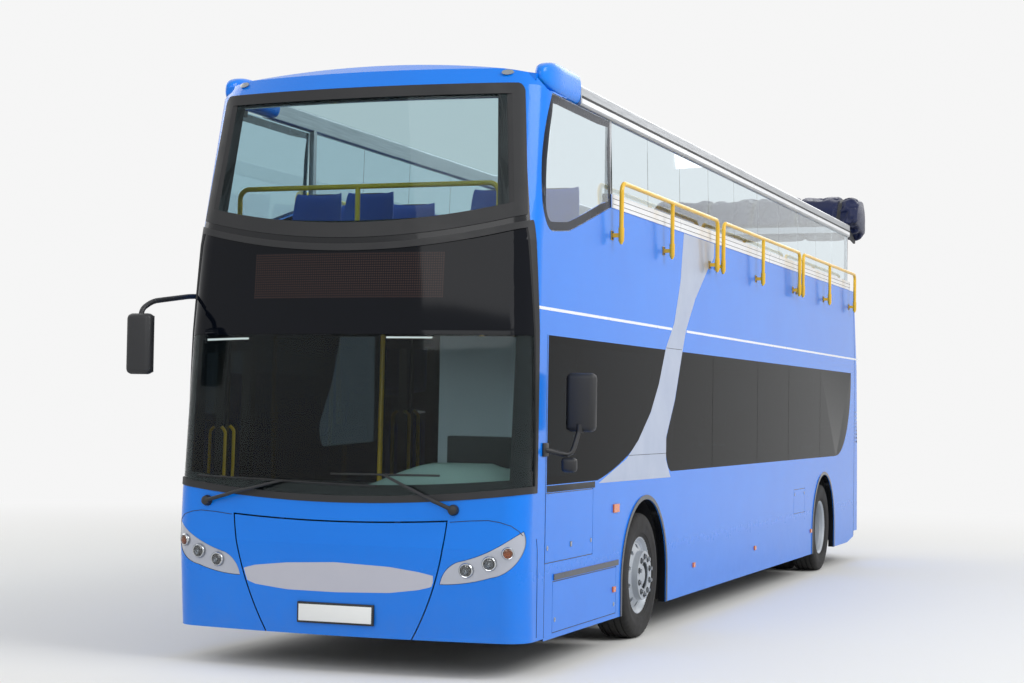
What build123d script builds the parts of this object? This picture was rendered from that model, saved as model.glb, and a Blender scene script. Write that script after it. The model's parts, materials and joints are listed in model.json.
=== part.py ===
from build123d import *
import os
from math import sqrt

# Open top double decker bus, in millimetres, at real size.
# X runs across the bus (+X is its left side), Y along it (the front faces -Y), Z up from the road.

# Body
body_width = 2550
half_body = body_width / 2
wall = 60                     # side, front and rear wall thickness
skirt_z = 225                 # lower edge of the side walls
floor_z = 360                 # top of the lower floor
floor_thick = 60
deck_z = 2330                 # top of the upper floor
deck_thick = 70
waist_z = 2250                # above this line the sides lean inwards
side_lean = 0.028             # inward lean for each millimetre of height
belt_z = 3230                 # top edge of the upper deck's side walls
nose_seam = -5500             # where the side walls meet the front below the waist line
hoop_seam = -4050             # where they meet it above the waist line
tail_seam = 5750              # where they meet the rear wall

# Front and rear plan shapes
# columns: height, foremost or rearmost Y, extra narrowing of each side, bow radius, corner radius
nose_levels = [
    (235, -5965, 0, 7000, 180),
    (840, -6020, 0, 7000, 180),
    (1150, -6005, 0, 7000, 180),
    (2250, -5905, 0, 7000, 180),
    (2850, -5865, 0, 6500, 200),
    (3900, -5725, 0, 4200, 300),
    (4015, -5645, 18, 3900, 300),
    (4085, -5480, 90, 3900, 300),
]
tail_levels = [
    (340, 6285, 0, 6000, 220),
    (1200, 6262, 0, 6000, 220),
    (2250, 6180, 0, 6000, 220),
    (3230, 6090, 0, 6000, 220),
]

# Running gear
tyre_radius = 480
tyre_width = 276
rim_seat = 286                # radius of the tyre's bead seat
track_x = 1117                # middle of a front wheel and of an outer rear wheel
twin_pitch = 308              # middle of the inner twin to middle of the outer one
front_axle_y = -3170
rear_axle_y = 3890
kingpin_x = 930
kingpin_radius = 26
arch_radius = 600
arch_z = 465
arch_box_inner = 430          # inner face of the wheel boxes
box_sheet = 10

# Glass
glass_gap = 0.3
glass_thick = 10
mullions = [-1120, 600, 2000, 3640]
mullion_width = 90

# Doors, in the right wall
front_door = (-5390, -4110)
middle_door = (-1075, 205)
door_sill = 385
door_head = 2190
leaf_thick = 42
leaf_edge = 15                # gap beside, over and under a leaf
leaf_pivot = 28               # pivot shaft's distance from the leaf's outer edge

# Open deck rails
rail_top_z = 4015
rail_foot_z = 3870
rail_depth = 60
pane_pitch = 955
pane_thick = 8


def half_width(z):
    """Half of the body's width at height z."""
    return half_body - max(0, z - waist_z) * side_lean


def end_outline(z, end_y, tuck, bow_radius, corner_radius, back_y, inset, way):
    """Plan section of the bus's nose (way -1) or tail (way 1), set in from the skin by inset."""
    big = bow_radius - inset
    small = corner_radius - inset
    half = half_width(z) - tuck - inset
    face_y = end_y - way * inset
    corner_x = half - small
    corner_depth = big - sqrt((big - small) ** 2 - corner_x**2)
    lean_x = corner_x / (big - small)
    lean_y = (big - corner_depth) / (big - small)
    blend_x = big * lean_x
    blend_y = face_y - way * (big - big * lean_y)
    middle = sqrt((lean_x + 1) ** 2 + lean_y**2)
    mid_x = corner_x + small * (lean_x + 1) / middle
    mid_y = face_y - way * (corner_depth - small * lean_y / middle)
    corner_y = face_y - way * corner_depth
    with BuildSketch(Plane.XY.offset(z)) as outline:
        with BuildLine():
            Polyline((-half, corner_y), (-half, back_y), (half, back_y), (half, corner_y))
            ThreePointArc((half, corner_y), (mid_x, mid_y), (blend_x, blend_y))
            ThreePointArc((blend_x, blend_y), (0, face_y), (-blend_x, blend_y))
            ThreePointArc((-blend_x, blend_y), (-mid_x, mid_y), (-half, corner_y))
        make_face()
    return outline.sketch


def level_at(levels, z):
    """The row of a level table at height z, between its own rows where needed."""
    for low, high in zip(levels, levels[1:]):
        if low[0] <= z <= high[0]:
            share = (z - low[0]) / (high[0] - low[0])
            return tuple(start + share * (end - start) for start, end in zip(low, high))
    return levels[-1]


def end_shell(bottom_z, top_z, outer_inset, inner_inset, back_y, way):
    """A curved wall between two insets of the nose or tail, from bottom_z to top_z."""
    table = nose_levels if way < 0 else tail_levels
    heights = [bottom_z] + [row[0] for row in table if bottom_z < row[0] < top_z] + [top_z]
    rows = [level_at(table, z) for z in heights]
    with BuildPart() as shell:
        loft([end_outline(*row, back_y, outer_inset, way) for row in rows], ruled=True)
        open_back = back_y - way * wall
        loft(
            [end_outline(*row, open_back, inner_inset, way) for row in rows],
            ruled=True,
            mode=Mode.SUBTRACT,
        )
    return shell.part


def side_prism(points, low_x, high_x):
    """A prism through the bus, drawn in side view as (Y, Z) points."""
    with BuildPart() as prism:
        with BuildSketch(Plane.YZ.offset(low_x)):
            with BuildLine():
                Polyline(*points, close=True)
            make_face()
        extrude(amount=high_x - low_x)
    return prism.part


def save(part, label):
    """Name a finished piece and write it to its own file."""
    part.label = label
    export_step(part, f"parts/{label}.step")
    print(label, "solids", len(part.solids()), "litres", round(part.volume / 1e6, 1))


os.makedirs("parts", exist_ok=True)

# Window outlines in side view, (Y, Z)
window_top = 2236
front_window_y = -5478


def front_window_face():
    with BuildSketch() as face:
        with BuildLine():
            Polyline((-4380, 1246), (front_window_y, 1246), (front_window_y, window_top), (-2640, window_top))
            sweep_down = ThreePointArc((-2640, window_top), (-3050, 1737), (-3680, 1400))
            TangentArc((-3680, 1400), (-4380, 1246), tangent=sweep_down % 1)
        make_face()
    return face.sketch


def rear_window_face():
    with BuildSketch() as face:
        with BuildLine():
            Polyline((-2450, 1262), (4540, 1262), (4620, 1266))
            ThreePointArc((4620, 1266), (5170, 1470), (5490, window_top))
            Polyline((5490, window_top), (-2140, window_top), (-2350, 1840), (-2590, 1545))
            ThreePointArc((-2590, 1545), (-2585, 1360), (-2450, 1262))
        make_face()
    return face.sketch


# Seams and trims of the side walls
seam_width = 6
seam_depth = 4
lip_width = 34
lip_proud = 8                 # how far the arch lips and the rub strip stand out
# columns: first Y, last Y, foot Z, head Z of a hatch on the left side
hatch_table = [(-5490, -4480, 731, 1190), (-5330, -3910, 262, 600), (2300, 2860, 700, 950)]
rub_strip = (-5320, -3870, 610, 650)
# Side walls: one profile drawn in front view and run along the bus, then cut for what it holds
def side_wall(side):
    top_x = half_width(belt_z)
    with BuildPart() as walls:
        with BuildSketch(Plane.XZ.offset(-nose_seam)):
            with BuildLine():
                Polyline(
                    (side * half_body, skirt_z),
                    (side * half_body, waist_z),
                    (side * top_x, belt_z),
                    (side * (top_x - wall), belt_z),
                    (side * (half_body - wall), waist_z),
                    (side * (half_body - wall), skirt_z),
                    close=True,
                )
            make_face()
        extrude(amount=nose_seam - tail_seam)
        # above the waist line the wall starts at the hoop
        low_x, high_x = sorted((side * 1100, side * 1400))
        front, over = nose_seam - 10, belt_z + 10
        above = [(front, waist_z), (hoop_seam, waist_z), (hoop_seam, over), (front, over)]
        add(side_prism(above, low_x, high_x), mode=Mode.SUBTRACT)
        # the skirt rises behind the rear wheels
        back = tail_seam + 10
        tail_rise = [(5340, skirt_z - 50), (5340, skirt_z), (back, skirt_z + 52), (back, skirt_z - 50)]
        add(side_prism(tail_rise, low_x, high_x), mode=Mode.SUBTRACT)
        outside = Plane.YZ.offset(side * (half_body + 1))
        with BuildSketch(outside):
            for axle_y in (front_axle_y, rear_axle_y):
                with Locations((axle_y, arch_z)):
                    Circle(arch_radius)
                with Locations((axle_y, arch_z - arch_radius / 2)):
                    Rectangle(2 * arch_radius, arch_radius)
        extrude(amount=-side * (wall + 2), mode=Mode.SUBTRACT)
        # a raised lip round each wheel arch
        with BuildSketch(Plane.YZ.offset(side * (half_body - 2))):
            for axle_y in (front_axle_y, rear_axle_y):
                with Locations((axle_y, arch_z)):
                    Circle(arch_radius + lip_width)
                with Locations((axle_y, (arch_z + skirt_z) / 2)):
                    Rectangle(2 * (arch_radius + lip_width), arch_z - skirt_z)
                with Locations((axle_y, arch_z)):
                    Circle(arch_radius, mode=Mode.SUBTRACT)
                with Locations((axle_y, arch_z - arch_radius / 2)):
                    Rectangle(2 * arch_radius, arch_radius, mode=Mode.SUBTRACT)
                with Locations((axle_y, skirt_z - arch_radius)):
                    Rectangle(3 * arch_radius, 2 * arch_radius, mode=Mode.SUBTRACT)
        extrude(amount=side * (2 + lip_proud))
        if side > 0:
            first_y, last_y, low_z, high_z = rub_strip
            with Locations((side * (half_body + lip_proud / 2 - 1), (first_y + last_y) / 2, (low_z + high_z) / 2)):
                Box(lip_proud + 2, last_y - first_y, high_z - low_z)
        # glass recess, then the openings between the pillars
        with BuildSketch(outside):
            if side > 0:
                add(front_window_face())
            add(rear_window_face())
        extrude(amount=-side * (1 + glass_thick + glass_gap), mode=Mode.SUBTRACT)
        with BuildSketch(outside):
            if side > 0:
                offset(front_window_face(), -50, mode=Mode.ADD)
            offset(rear_window_face(), -50, mode=Mode.ADD)
            for mullion_y in mullions:
                with Locations((mullion_y, 1740)):
                    Rectangle(mullion_width, 1200, mode=Mode.SUBTRACT)
            if side < 0:
                with Locations(((middle_door[0] + middle_door[1]) / 2, 1740)):
                    Rectangle(middle_door[1] - middle_door[0] + 140, 1200, mode=Mode.SUBTRACT)
        extrude(amount=-side * (wall + 2), mode=Mode.SUBTRACT)
        if side < 0:
            with BuildSketch(outside):
                for door in (front_door, middle_door):
                    with Locations(((door[0] + door[1]) / 2, (door_sill + door_head) / 2)):
                        Rectangle(door[1] - door[0], door_head - door_sill)
            extrude(amount=-side * (wall + 2), mode=Mode.SUBTRACT)
        else:
            with BuildSketch(outside):
                for first_y, last_y, low_z, high_z in hatch_table:
                    for seam_y in (first_y, last_y):
                        with Locations((seam_y, (low_z + high_z) / 2)):
                            Rectangle(seam_width, high_z - low_z + seam_width)
                    for seam_z in (low_z, high_z):
                        with Locations(((first_y + last_y) / 2, seam_z)):
                            Rectangle(last_y - first_y, seam_width)
            extrude(amount=-(1 + seam_depth), mode=Mode.SUBTRACT)
    return walls.part


save(side_wall(1), "side_wall_left")
save(side_wall(-1), "side_wall_right")

# Saloon glass: bonded panes flush with the walls, with joints at the mullions
pane_joint = 8
with BuildPart() as saloon_glass:
    for side in (1, -1):
        with BuildSketch(Plane.YZ.offset(side * (half_body - glass_thick))):
            if side > 0:
                offset(front_window_face(), -glass_gap, mode=Mode.ADD)
            offset(rear_window_face(), -glass_gap, mode=Mode.ADD)
            for mullion_y in mullions:
                with Locations((mullion_y, 1740)):
                    Rectangle(pane_joint, 1200, mode=Mode.SUBTRACT)
            if side < 0:
                with Locations(((middle_door[0] + middle_door[1]) / 2, 1740)):
                    Rectangle(middle_door[1] - middle_door[0] + 60, 1200, mode=Mode.SUBTRACT)
        extrude(amount=side * glass_thick)
save(saloon_glass.part, "saloon_glass")

# Front hoop: the corner pillars, the cross beam between the two screens, the sides up to the
# quarter lights and the brow over the upper deck's windscreen
screen_inset = 5
screen_thick = 14
ledge = screen_inset + screen_thick + glass_gap
screen_edge_y = -5670         # how far the lower screen wraps round the corners
seam_rise = 2841              # height of the joint between the screens at the middle
seam_side = 2990              # and at 1200 mm from it
mask_top_middle = 1107
mask_top_side = 1183
brow_back = -5050
brow_z = 3905
crown_middle = 4082           # top of the brow at the middle
crown_side = 3955             # and where its curve would meet the sides
brow_skin = 45


def bowed(left, middle, right):
    """An arc through three points, or the line between the outer two where they are in line."""
    if abs(left[1] - middle[1]) < 0.01:
        return Line(left, right)
    return ThreePointArc(left, middle, right)


def front_view_prism(lower, upper, front_y=-6200, back_y=-4900):
    """Prism along the bus between two bowed edges, each given as (height at the middle, at the sides)."""
    reach = 1300
    with BuildPart() as prism:
        with BuildSketch(Plane.XZ.offset(-back_y)):
            with BuildLine():
                bowed((-reach, lower[1]), (0, lower[0]), (reach, lower[1]))
                Line((reach, lower[1]), (reach, upper[1]))
                bowed((reach, upper[1]), (0, upper[0]), (-reach, upper[1]))
                Line((-reach, upper[1]), (-reach, lower[1]))
            make_face()
        extrude(amount=back_y - front_y)
    return prism.part


def wrap_prism(low_z, low_y, high_z, high_y, rounding):
    """Side view limit of a wrapped screen, with its two rear corners rounded."""
    with BuildPart() as prism:
        with BuildSketch(Plane.YZ.offset(-1400)):
            with BuildLine():
                Polyline((-6300, low_z), (low_y, low_z), (high_y, high_z), (-6300, high_z), close=True)
            face = make_face()
            back = face.vertices().sort_by(Axis.X)[-2:]
            fillet(back, rounding)
        extrude(amount=2800)
    return prism.part


def front_prism(points):
    """A prism along the nose, drawn in front view as (X, Z) points."""
    with BuildPart() as prism:
        with BuildSketch(Plane.XZ.offset(4900)):
            with BuildLine():
                Polyline(*points, close=True)
            make_face()
        extrude(amount=1300)
    return prism.part


lower_foot = (mask_top_middle + 8, mask_top_side + 20)
lower_head = (seam_rise - 12, seam_side + 12)
upper_foot = (seam_rise + 30, seam_side + 54)
upper_head = (brow_z - 8, brow_z + 4)
upper_edge_y = (-5715, -5550)  # the same for the upper screen, at its foot and its head
lower_screen = front_view_prism(lower_foot, lower_head)
lower_screen &= wrap_prism(1100, screen_edge_y, 3060, screen_edge_y + 10, 110)
upper_screen = front_view_prism(upper_foot, upper_head)
upper_screen &= wrap_prism(2860, upper_edge_y[0], 3950, upper_edge_y[1], 90)
lower_opening = front_view_prism((1230, 1300), (2740, 2840)) & front_prism(
    [(-1160, 1100), (1160, 1100), (1160, 3000), (-1160, 3000)]
)
upper_opening = front_view_prism((2985, 3092), (3800, 3812)) & front_prism(
    [(-1130, 2900), (1130, 2900), (1030, 3900), (-1030, 3900)]
)

# Quarter light outline in side view
def quarter_face(inset=0):
    with BuildSketch() as face:
        with BuildLine():
            first = ThreePointArc((-5345, 3868), (-5525, 3420), (-5560, 3120))
            second = TangentArc((-5560, 3120), (-5350, 2935), tangent=first % 1)
            Polyline((-5350, 2935), (-5030, 2965), (-4720, 3045), (hoop_seam - 10, 3229))
            Polyline((hoop_seam - 10, 3229), (hoop_seam - 10, 3868), (-5345, 3868))
        make_face()
        if inset:
            offset(amount=-inset, mode=Mode.REPLACE)
    return face.sketch


# Roof drive pods, let into the hoop's upper corners
pod_inner_x = 1095
pod_outer_x = 1246
pod_front = -5450
pod_back = -4790
pod_foot = rail_foot_z + 2
pod_head = 4092
with BuildPart() as roof_pods:
    for side in (1, -1):
        with BuildSketch(Plane.YZ.offset(side * pod_inner_x)):
            with BuildLine():
                crown_end = (pod_front + 230, pod_head)
                nose_end = (pod_front, pod_foot + 90)
                heel = (pod_front + 90, pod_foot)
                ThreePointArc((pod_back - 70, pod_foot), (pod_back, pod_foot + 100), (pod_back - 90, pod_head))
                Line((pod_back - 90, pod_head), crown_end)
                ThreePointArc(crown_end, (pod_front + 60, pod_head - 40), nose_end)
                ThreePointArc(nose_end, (pod_front + 30, pod_foot + 20), heel)
                Line(heel, (pod_back - 70, pod_foot))
            make_face()
        extrude(amount=side * (pod_outer_x - pod_inner_x))
    outer_ends = roof_pods.faces().filter_by(Axis.X).sort_by(Axis.X)
    fillet(outer_ends[0].edges() + outer_ends[-1].edges(), 40)
save(roof_pods.part, "roof_pods")

with BuildPart() as front_hoop:
    add(end_shell(1090, 4085, 0, wall, hoop_seam, -1))
    # the brow's crowned roof closes the shell in front of its rear edge
    with BuildPart(mode=Mode.PRIVATE) as brow_roof:
        add(
            front_view_prism((crown_middle - brow_skin, crown_side - brow_skin), (crown_middle, crown_side))
            & Pos(0, (brow_back - 5480) / 2, 4000) * Box(2320, brow_back + 5480, 400, mode=Mode.PRIVATE)
        )
    add(brow_roof.part)
    beside_cab = [(nose_seam, 1000), (nose_seam, waist_z), (0, waist_z), (0, 1000)]
    add(side_prism(beside_cab, -1400, 1400), mode=Mode.SUBTRACT)
    behind_brow = [(brow_back, 3869), (brow_back, 4200), (0, 4200), (0, 3869)]
    add(side_prism(behind_brow, -1400, 1400), mode=Mode.SUBTRACT)
    add(front_view_prism((900, 900), (mask_top_middle, mask_top_side)), mode=Mode.SUBTRACT)
    add(front_view_prism((crown_middle, crown_side), (4300, 4300)), mode=Mode.SUBTRACT)
    skin_ring = end_shell(1090, 4015, -20, ledge, hoop_seam, -1)
    add(lower_screen & skin_ring, mode=Mode.SUBTRACT)
    add(upper_screen & skin_ring, mode=Mode.SUBTRACT)
    add(lower_opening, mode=Mode.SUBTRACT)
    add(upper_opening, mode=Mode.SUBTRACT)
    # the quarter lights
    for side in (1, -1):
        with BuildSketch(Plane.YZ.offset(side * 1050)):
            add(quarter_face(45))
            with Locations(((brow_back + hoop_seam) / 2, 3600)):
                Rectangle(hoop_seam - brow_back + 200, 545)
        extrude(amount=side * 350, mode=Mode.SUBTRACT)
    quarter_prism = extrude(Plane.YZ * quarter_face(), amount=1400, both=True, mode=Mode.PRIVATE)
    add(quarter_prism & skin_ring, mode=Mode.SUBTRACT)
    add(roof_pods.part, mode=Mode.SUBTRACT)
save(front_hoop.part, "front_hoop")


def wrapped_pane(opening, low_z, high_z):
    """A curved screen in its recess, inside the rubber surround."""
    return opening & end_shell(low_z, high_z, screen_inset, screen_inset + screen_thick, -4700, -1)


surround_width = 46
lower_glass_zone = front_view_prism(
    (lower_foot[0] + surround_width, lower_foot[1] + surround_width),
    (lower_head[0] - surround_width, lower_head[1] - surround_width),
) & wrap_prism(1126, screen_edge_y - surround_width, 3034, screen_edge_y + 10 - surround_width, 90)
upper_border = (100, 74)        # black border of the upper screen at its foot and its head
upper_glass_zone = front_view_prism(
    (upper_foot[0] + upper_border[0], upper_foot[1] + upper_border[0]),
    (upper_head[0] - upper_border[1], upper_head[1] - upper_border[1]),
) & wrap_prism(2886, upper_edge_y[0] - surround_width, 3924, upper_edge_y[1] - surround_width, 70)
save(Part() + wrapped_pane(lower_glass_zone, 1100, 3060), "windscreen_lower")
save(Part() + wrapped_pane(upper_glass_zone, 2860, 3950), "windscreen_upper")

with BuildPart() as screen_surrounds:
    add(lower_screen & end_shell(1100, 3060, -6, screen_inset + screen_thick, -4700, -1))
    add(lower_glass_zone, mode=Mode.SUBTRACT)
    add((upper_screen & end_shell(2860, 3950, -6, screen_inset + screen_thick, -4700, -1)) - upper_glass_zone)
save(screen_surrounds.part, "screen_surrounds")

# Front mask, with the opening of its middle flap
flap_top = (986, 1011)        # at the middle and at its corners
flap_half_top = 766
flap_half_foot = 510
flap_gap = 10.5
flap_skin = 12                # outer panel of the flap, wider than the frame behind it
flap_step = 14
mask_foot = 240
flap_arm_x = 420
arm_depth = 22                # thickness of a lid's hinge arms
seat_gap = 0.3                # gap at rest between a moving piece and its seat


def flap_face(grow):
    """Front view outline of the middle flap, made larger by grow."""
    with BuildSketch(Plane.XZ) as face:
        with BuildLine():
            ThreePointArc(
                (-flap_half_top - grow, flap_top[1] + grow),
                (0, flap_top[0] + grow),
                (flap_half_top + grow, flap_top[1] + grow),
            )
            ThreePointArc(
                (flap_half_top + grow, flap_top[1] + grow),
                (flap_half_top - 72 + grow, 645),
                (flap_half_foot + grow, mask_foot - 20),
            )
            Line((flap_half_foot + grow, mask_foot - 20), (-flap_half_foot - grow, mask_foot - 20))
            ThreePointArc(
                (-flap_half_foot - grow, mask_foot - 20),
                (-flap_half_top + 72 - grow, 645),
                (-flap_half_top - grow, flap_top[1] + grow),
            )
        make_face()
    return face.sketch


# Lamp unit outline in front view, (X, Z) on the left half
def lamp_face(side, shrink=0):
    with BuildSketch(Plane.XZ) as face:
        with BuildLine():
            ThreePointArc((side * 722, 606), (side * 764, 700), (side * 844, 757))
            ThreePointArc((side * 844, 757), (side * 1073, 842), (side * 1250, 962))
            ThreePointArc((side * 1250, 962), (side * 1224, 765), (side * 1062, 660))
            ThreePointArc((side * 1062, 660), (side * 896, 620), (side * 722, 606))
        make_face()
        if shrink:
            offset(amount=-shrink, mode=Mode.REPLACE)
    return face.sketch


# columns: X, Z, radius of each lamp of a head lamp unit
head_lamp_table = [(902, 704, 43), (1054, 752, 43), (1173, 822, 36)]
lamp_pocket = 30
mask_skin = 40
with BuildPart() as front_mask:
    add(end_shell(mask_foot, 1200, 0, mask_skin, nose_seam, -1))
    add(front_view_prism((mask_top_middle, mask_top_side), (1400, 1400)), mode=Mode.SUBTRACT)
    extrude(flap_face(flap_gap), amount=6300, mode=Mode.SUBTRACT)
    pocket_shell = end_shell(mask_foot, 1150, -5, lamp_pocket, nose_seam, -1)
    for side in (1, -1):
        add(extrude(lamp_face(side), amount=6300, mode=Mode.PRIVATE) & pocket_shell, mode=Mode.SUBTRACT)
save(front_mask.part, "front_mask")

with BuildPart() as front_flap:
    outer_panel = end_shell(mask_foot, 1150, 0, flap_skin, nose_seam, -1)
    add(outer_panel & extrude(flap_face(0), amount=6300, mode=Mode.PRIVATE))
    # the frame behind the panel is narrower, so that its corners clear the mask as the flap lifts
    inner_frame = end_shell(mask_foot, 1150, flap_skin - 1, mask_skin, nose_seam, -1)
    add(inner_frame & extrude(flap_face(-flap_step), amount=6300, mode=Mode.PRIVATE))
    # two hinge arms reach up behind the mask
    arm_lower = end_shell(900, 970, mask_skin - 1, mask_skin + arm_depth, nose_seam, -1)
    # below the hinge line the arm stands back, because it moves forward there
    arm_upper = end_shell(970, 1018, mask_skin + 4, mask_skin + arm_depth, nose_seam, -1)
    arm_upper += end_shell(1018, 1060, mask_skin + seat_gap, mask_skin + arm_depth, nose_seam, -1)
    for side in (1, -1):
        arm_box = Pos(side * flap_arm_x, -6000, 980) * Box(36, 600, 200, mode=Mode.PRIVATE)
        add((arm_lower + arm_upper) & arm_box)
save(front_flap.part, "front_flap")

with BuildPart() as head_lamps:
    plate_shell = end_shell(mask_foot, 1150, 3, lamp_pocket - glass_gap, nose_seam, -1)
    bulb_shell = end_shell(mask_foot, 1150, -4, lamp_pocket - glass_gap, nose_seam, -1)
    for side in (1, -1):
        add(extrude(lamp_face(side, 3), amount=6300, mode=Mode.PRIVATE) & plate_shell)
        for lamp_x, lamp_z, lamp_radius in head_lamp_table:
            with BuildSketch(Plane.XZ.offset(5000), mode=Mode.PRIVATE) as lamp:
                with Locations((side * lamp_x, lamp_z)):
                    Circle(lamp_radius)
            add(extrude(lamp.sketch, amount=1300, mode=Mode.PRIVATE) & bulb_shell)
save(head_lamps.part, "head_lamps")

# Rear wall with its lid opening and upper saloon window
lid_half = 850
lid_top = 1330
lid_foot = 560
lid_gap = 8
slot_pitch = 44
slot_height = 20
slot_depth = 14
with BuildPart() as rear_wall:
    add(end_shell(340, belt_z, 0, wall, tail_seam, 1))
    with BuildSketch(Plane.XZ.offset(-7000)):
        with Locations((0, (lid_top + lid_foot) / 2)):
            Rectangle(2 * (lid_half + lid_gap), lid_top - lid_foot + 2 * lid_gap)
        with Locations((0, 1880)):
            RectangleRounded(1900, 560, 90)
    extrude(amount=1200, mode=Mode.SUBTRACT)
    # air slots on both rear corners
    for side in (1, -1):
        with BuildSketch(Plane.YZ.offset(side * (half_body + 1))):
            with GridLocations(0, slot_pitch, 1, 9):
                with Locations((5885, 1590)):
                    Rectangle(200, slot_height)
        extrude(amount=-side * (1 + slot_depth), mode=Mode.SUBTRACT)
save(rear_wall.part, "rear_wall")

with BuildPart() as engine_lid:
    add(end_shell(340, 1400, 0, mask_skin, tail_seam, 1))
    with BuildSketch(Plane.XZ.offset(-7000)):
        with Locations((0, (lid_top + lid_foot) / 2)):
            Rectangle(2 * lid_half, lid_top - lid_foot)
    extrude(amount=1200, mode=Mode.INTERSECT)
    # louvres
    with BuildPart(mode=Mode.PRIVATE) as louvres:
        with BuildSketch(Plane.XZ.offset(-7000)):
            with Locations((0, 930)):
                with GridLocations(640, slot_pitch, 2, 9):
                    Rectangle(560, slot_height)
        extrude(amount=1200)
    add(louvres.part & end_shell(340, 1400, -5, slot_depth, tail_seam, 1), mode=Mode.SUBTRACT)
    arm_lower = end_shell(1240, lid_top, mask_skin - 1, wall + arm_depth, tail_seam, 1)
    arm_upper = end_shell(lid_top, 1400, wall + seat_gap, wall + arm_depth, tail_seam, 1)
    for side in (1, -1):
        arm_box = Pos(side * 520, 6200, 1320) * Box(40, 600, 160, mode=Mode.PRIVATE)
        add((arm_lower + arm_upper) & arm_box)
save(engine_lid.part, "engine_lid")

with BuildPart() as rear_glass:
    add(end_shell(1500, 2250, 0, glass_thick, tail_seam, 1))
    with BuildSketch(Plane.XZ.offset(-7000)):
        with Locations((0, 1880)):
            RectangleRounded(1900 - 2 * glass_gap, 560 - 2 * glass_gap, 90)
    extrude(amount=1200, mode=Mode.INTERSECT)
save(rear_glass.part, "rear_glass")

# Floors
floor_half = half_body - wall
platform_y = 2500
# columns: Y where a step stands, height of the floor behind it
platform_steps = [(platform_y, 560), (2760, 760), (4620, 1140)]
platform_thick = 50
box_half = arch_radius + 20   # half length of a wheel box
with BuildPart() as lower_floor:
    with BuildSketch(Plane.XY.offset(floor_z - floor_thick)):
        with BuildLine():
            Polyline(
                (-floor_half, nose_seam), (-1000, -5700), (1000, -5700), (floor_half, nose_seam),
                (floor_half, platform_y), (-floor_half, platform_y), close=True,
            )
        make_face()
    extrude(amount=floor_thick)
    # raised rear platform over the driven axle and the engine
    with BuildSketch(Plane.YZ.offset(-floor_half)):
        upper_line = [(platform_y, floor_z - floor_thick)]
        lower_line = [(platform_y + platform_thick, floor_z - floor_thick)]
        for step_y, step_z in platform_steps:
            under_y = step_y + platform_thick
            upper_line += [(step_y, upper_line[-1][1]), (step_y, step_z)]
            lower_line += [(under_y, lower_line[-1][1]), (under_y, step_z - platform_thick)]
        upper_line = upper_line[1:] + [(tail_seam - 50, platform_steps[-1][1])]
        lower_line = lower_line[1:] + [(tail_seam - 50, platform_steps[-1][1] - platform_thick)]
        with BuildLine():
            Polyline(*upper_line, *reversed(lower_line), close=True)
        make_face()
    extrude(amount=2 * floor_half)
    for axle_y in (front_axle_y, rear_axle_y):
        for side in (1, -1):
            with BuildSketch(Plane.XY.offset(200)):
                with Locations((side * (arch_box_inner + 400), axle_y)):
                    Rectangle(800, 2 * box_half)
            extrude(amount=800, mode=Mode.SUBTRACT)
save(lower_floor.part, "lower_floor")

# The staircase climbs over the left front wheel box
stair_steps = 9
stair_start = -4650
stair_run = 250
stair_riser = 20
stair_rise = (deck_z - floor_z) / stair_steps
tread_end = stair_start + (stair_steps - 1) * stair_run
stair_x = (560, floor_half - 5)
stairwell_y = (-4250, tread_end + stair_riser)
with BuildPart() as upper_floor:
    with BuildSketch(Plane.XY.offset(deck_z - deck_thick)):
        with BuildLine():
            edge = half_width(deck_z) - wall
            Polyline(
                (-edge, -5580), (-1130, -5690), (-900, -5750), (900, -5750), (1130, -5690), (edge, -5580),
                (edge, 5760), (-edge, 5760), close=True,
            )
        make_face()
        with Locations(((stair_x[0] + edge) / 2, sum(stairwell_y) / 2)):
            Rectangle(edge - stair_x[0], stairwell_y[1] - stairwell_y[0], mode=Mode.SUBTRACT)
    extrude(amount=deck_thick)
save(upper_floor.part, "upper_floor")

# Wheel boxes: sheet boxes over the wheels, open below and to the outside
spring_x = 530
spring_radius = 70
spring_foot = 480
spring_head = 790
with BuildPart() as wheel_boxes:
    for axle_y in (front_axle_y, rear_axle_y):
        for side in (1, -1):
            with BuildSketch(Plane.YZ.offset(side * arch_box_inner)):
                with Locations((axle_y, arch_z)):
                    Circle(box_half)
                with Locations((axle_y, (arch_z + 300) / 2)):
                    Rectangle(2 * box_half, arch_z - 300)
                with Locations((axle_y, 0)):
                    Rectangle(3000, 2 * (floor_z - floor_thick), mode=Mode.SUBTRACT)
            extrude(amount=side * (floor_half - arch_box_inner))
            with BuildSketch(Plane.YZ.offset(side * (arch_box_inner + box_sheet))):
                with Locations((axle_y, arch_z)):
                    Circle(box_half - box_sheet)
                with Locations((axle_y, (arch_z + 200) / 2)):
                    Rectangle(2 * (box_half - box_sheet), arch_z - 200)
            extrude(amount=side * 800, mode=Mode.SUBTRACT)
            # the axle comes in through the inner wall
            with BuildSketch(Plane.YZ.offset(side * (arch_box_inner - 5))):
                with Locations((axle_y, 400)):
                    Rectangle(240, 400)
            extrude(amount=side * 20, mode=Mode.SUBTRACT)
    for side in (1, -1):
        with Locations((side * (arch_box_inner + 90), front_axle_y, spring_head)):
            Box(180, 190, 14, align=(Align.CENTER, Align.CENTER, Align.MIN))
save(wheel_boxes.part, "wheel_boxes")

# Chassis frame: long rails with cross members under the floor, broken at the front axle, and the
# uprights that carry the rear platform
frame_height = 60
frame_z = floor_z - floor_thick - frame_height
frame_rail_x = 470
frame_bar = 70
tow_eye_radius = 20
tow_front_y = -5800
tow_rear_y = 5950
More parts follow.
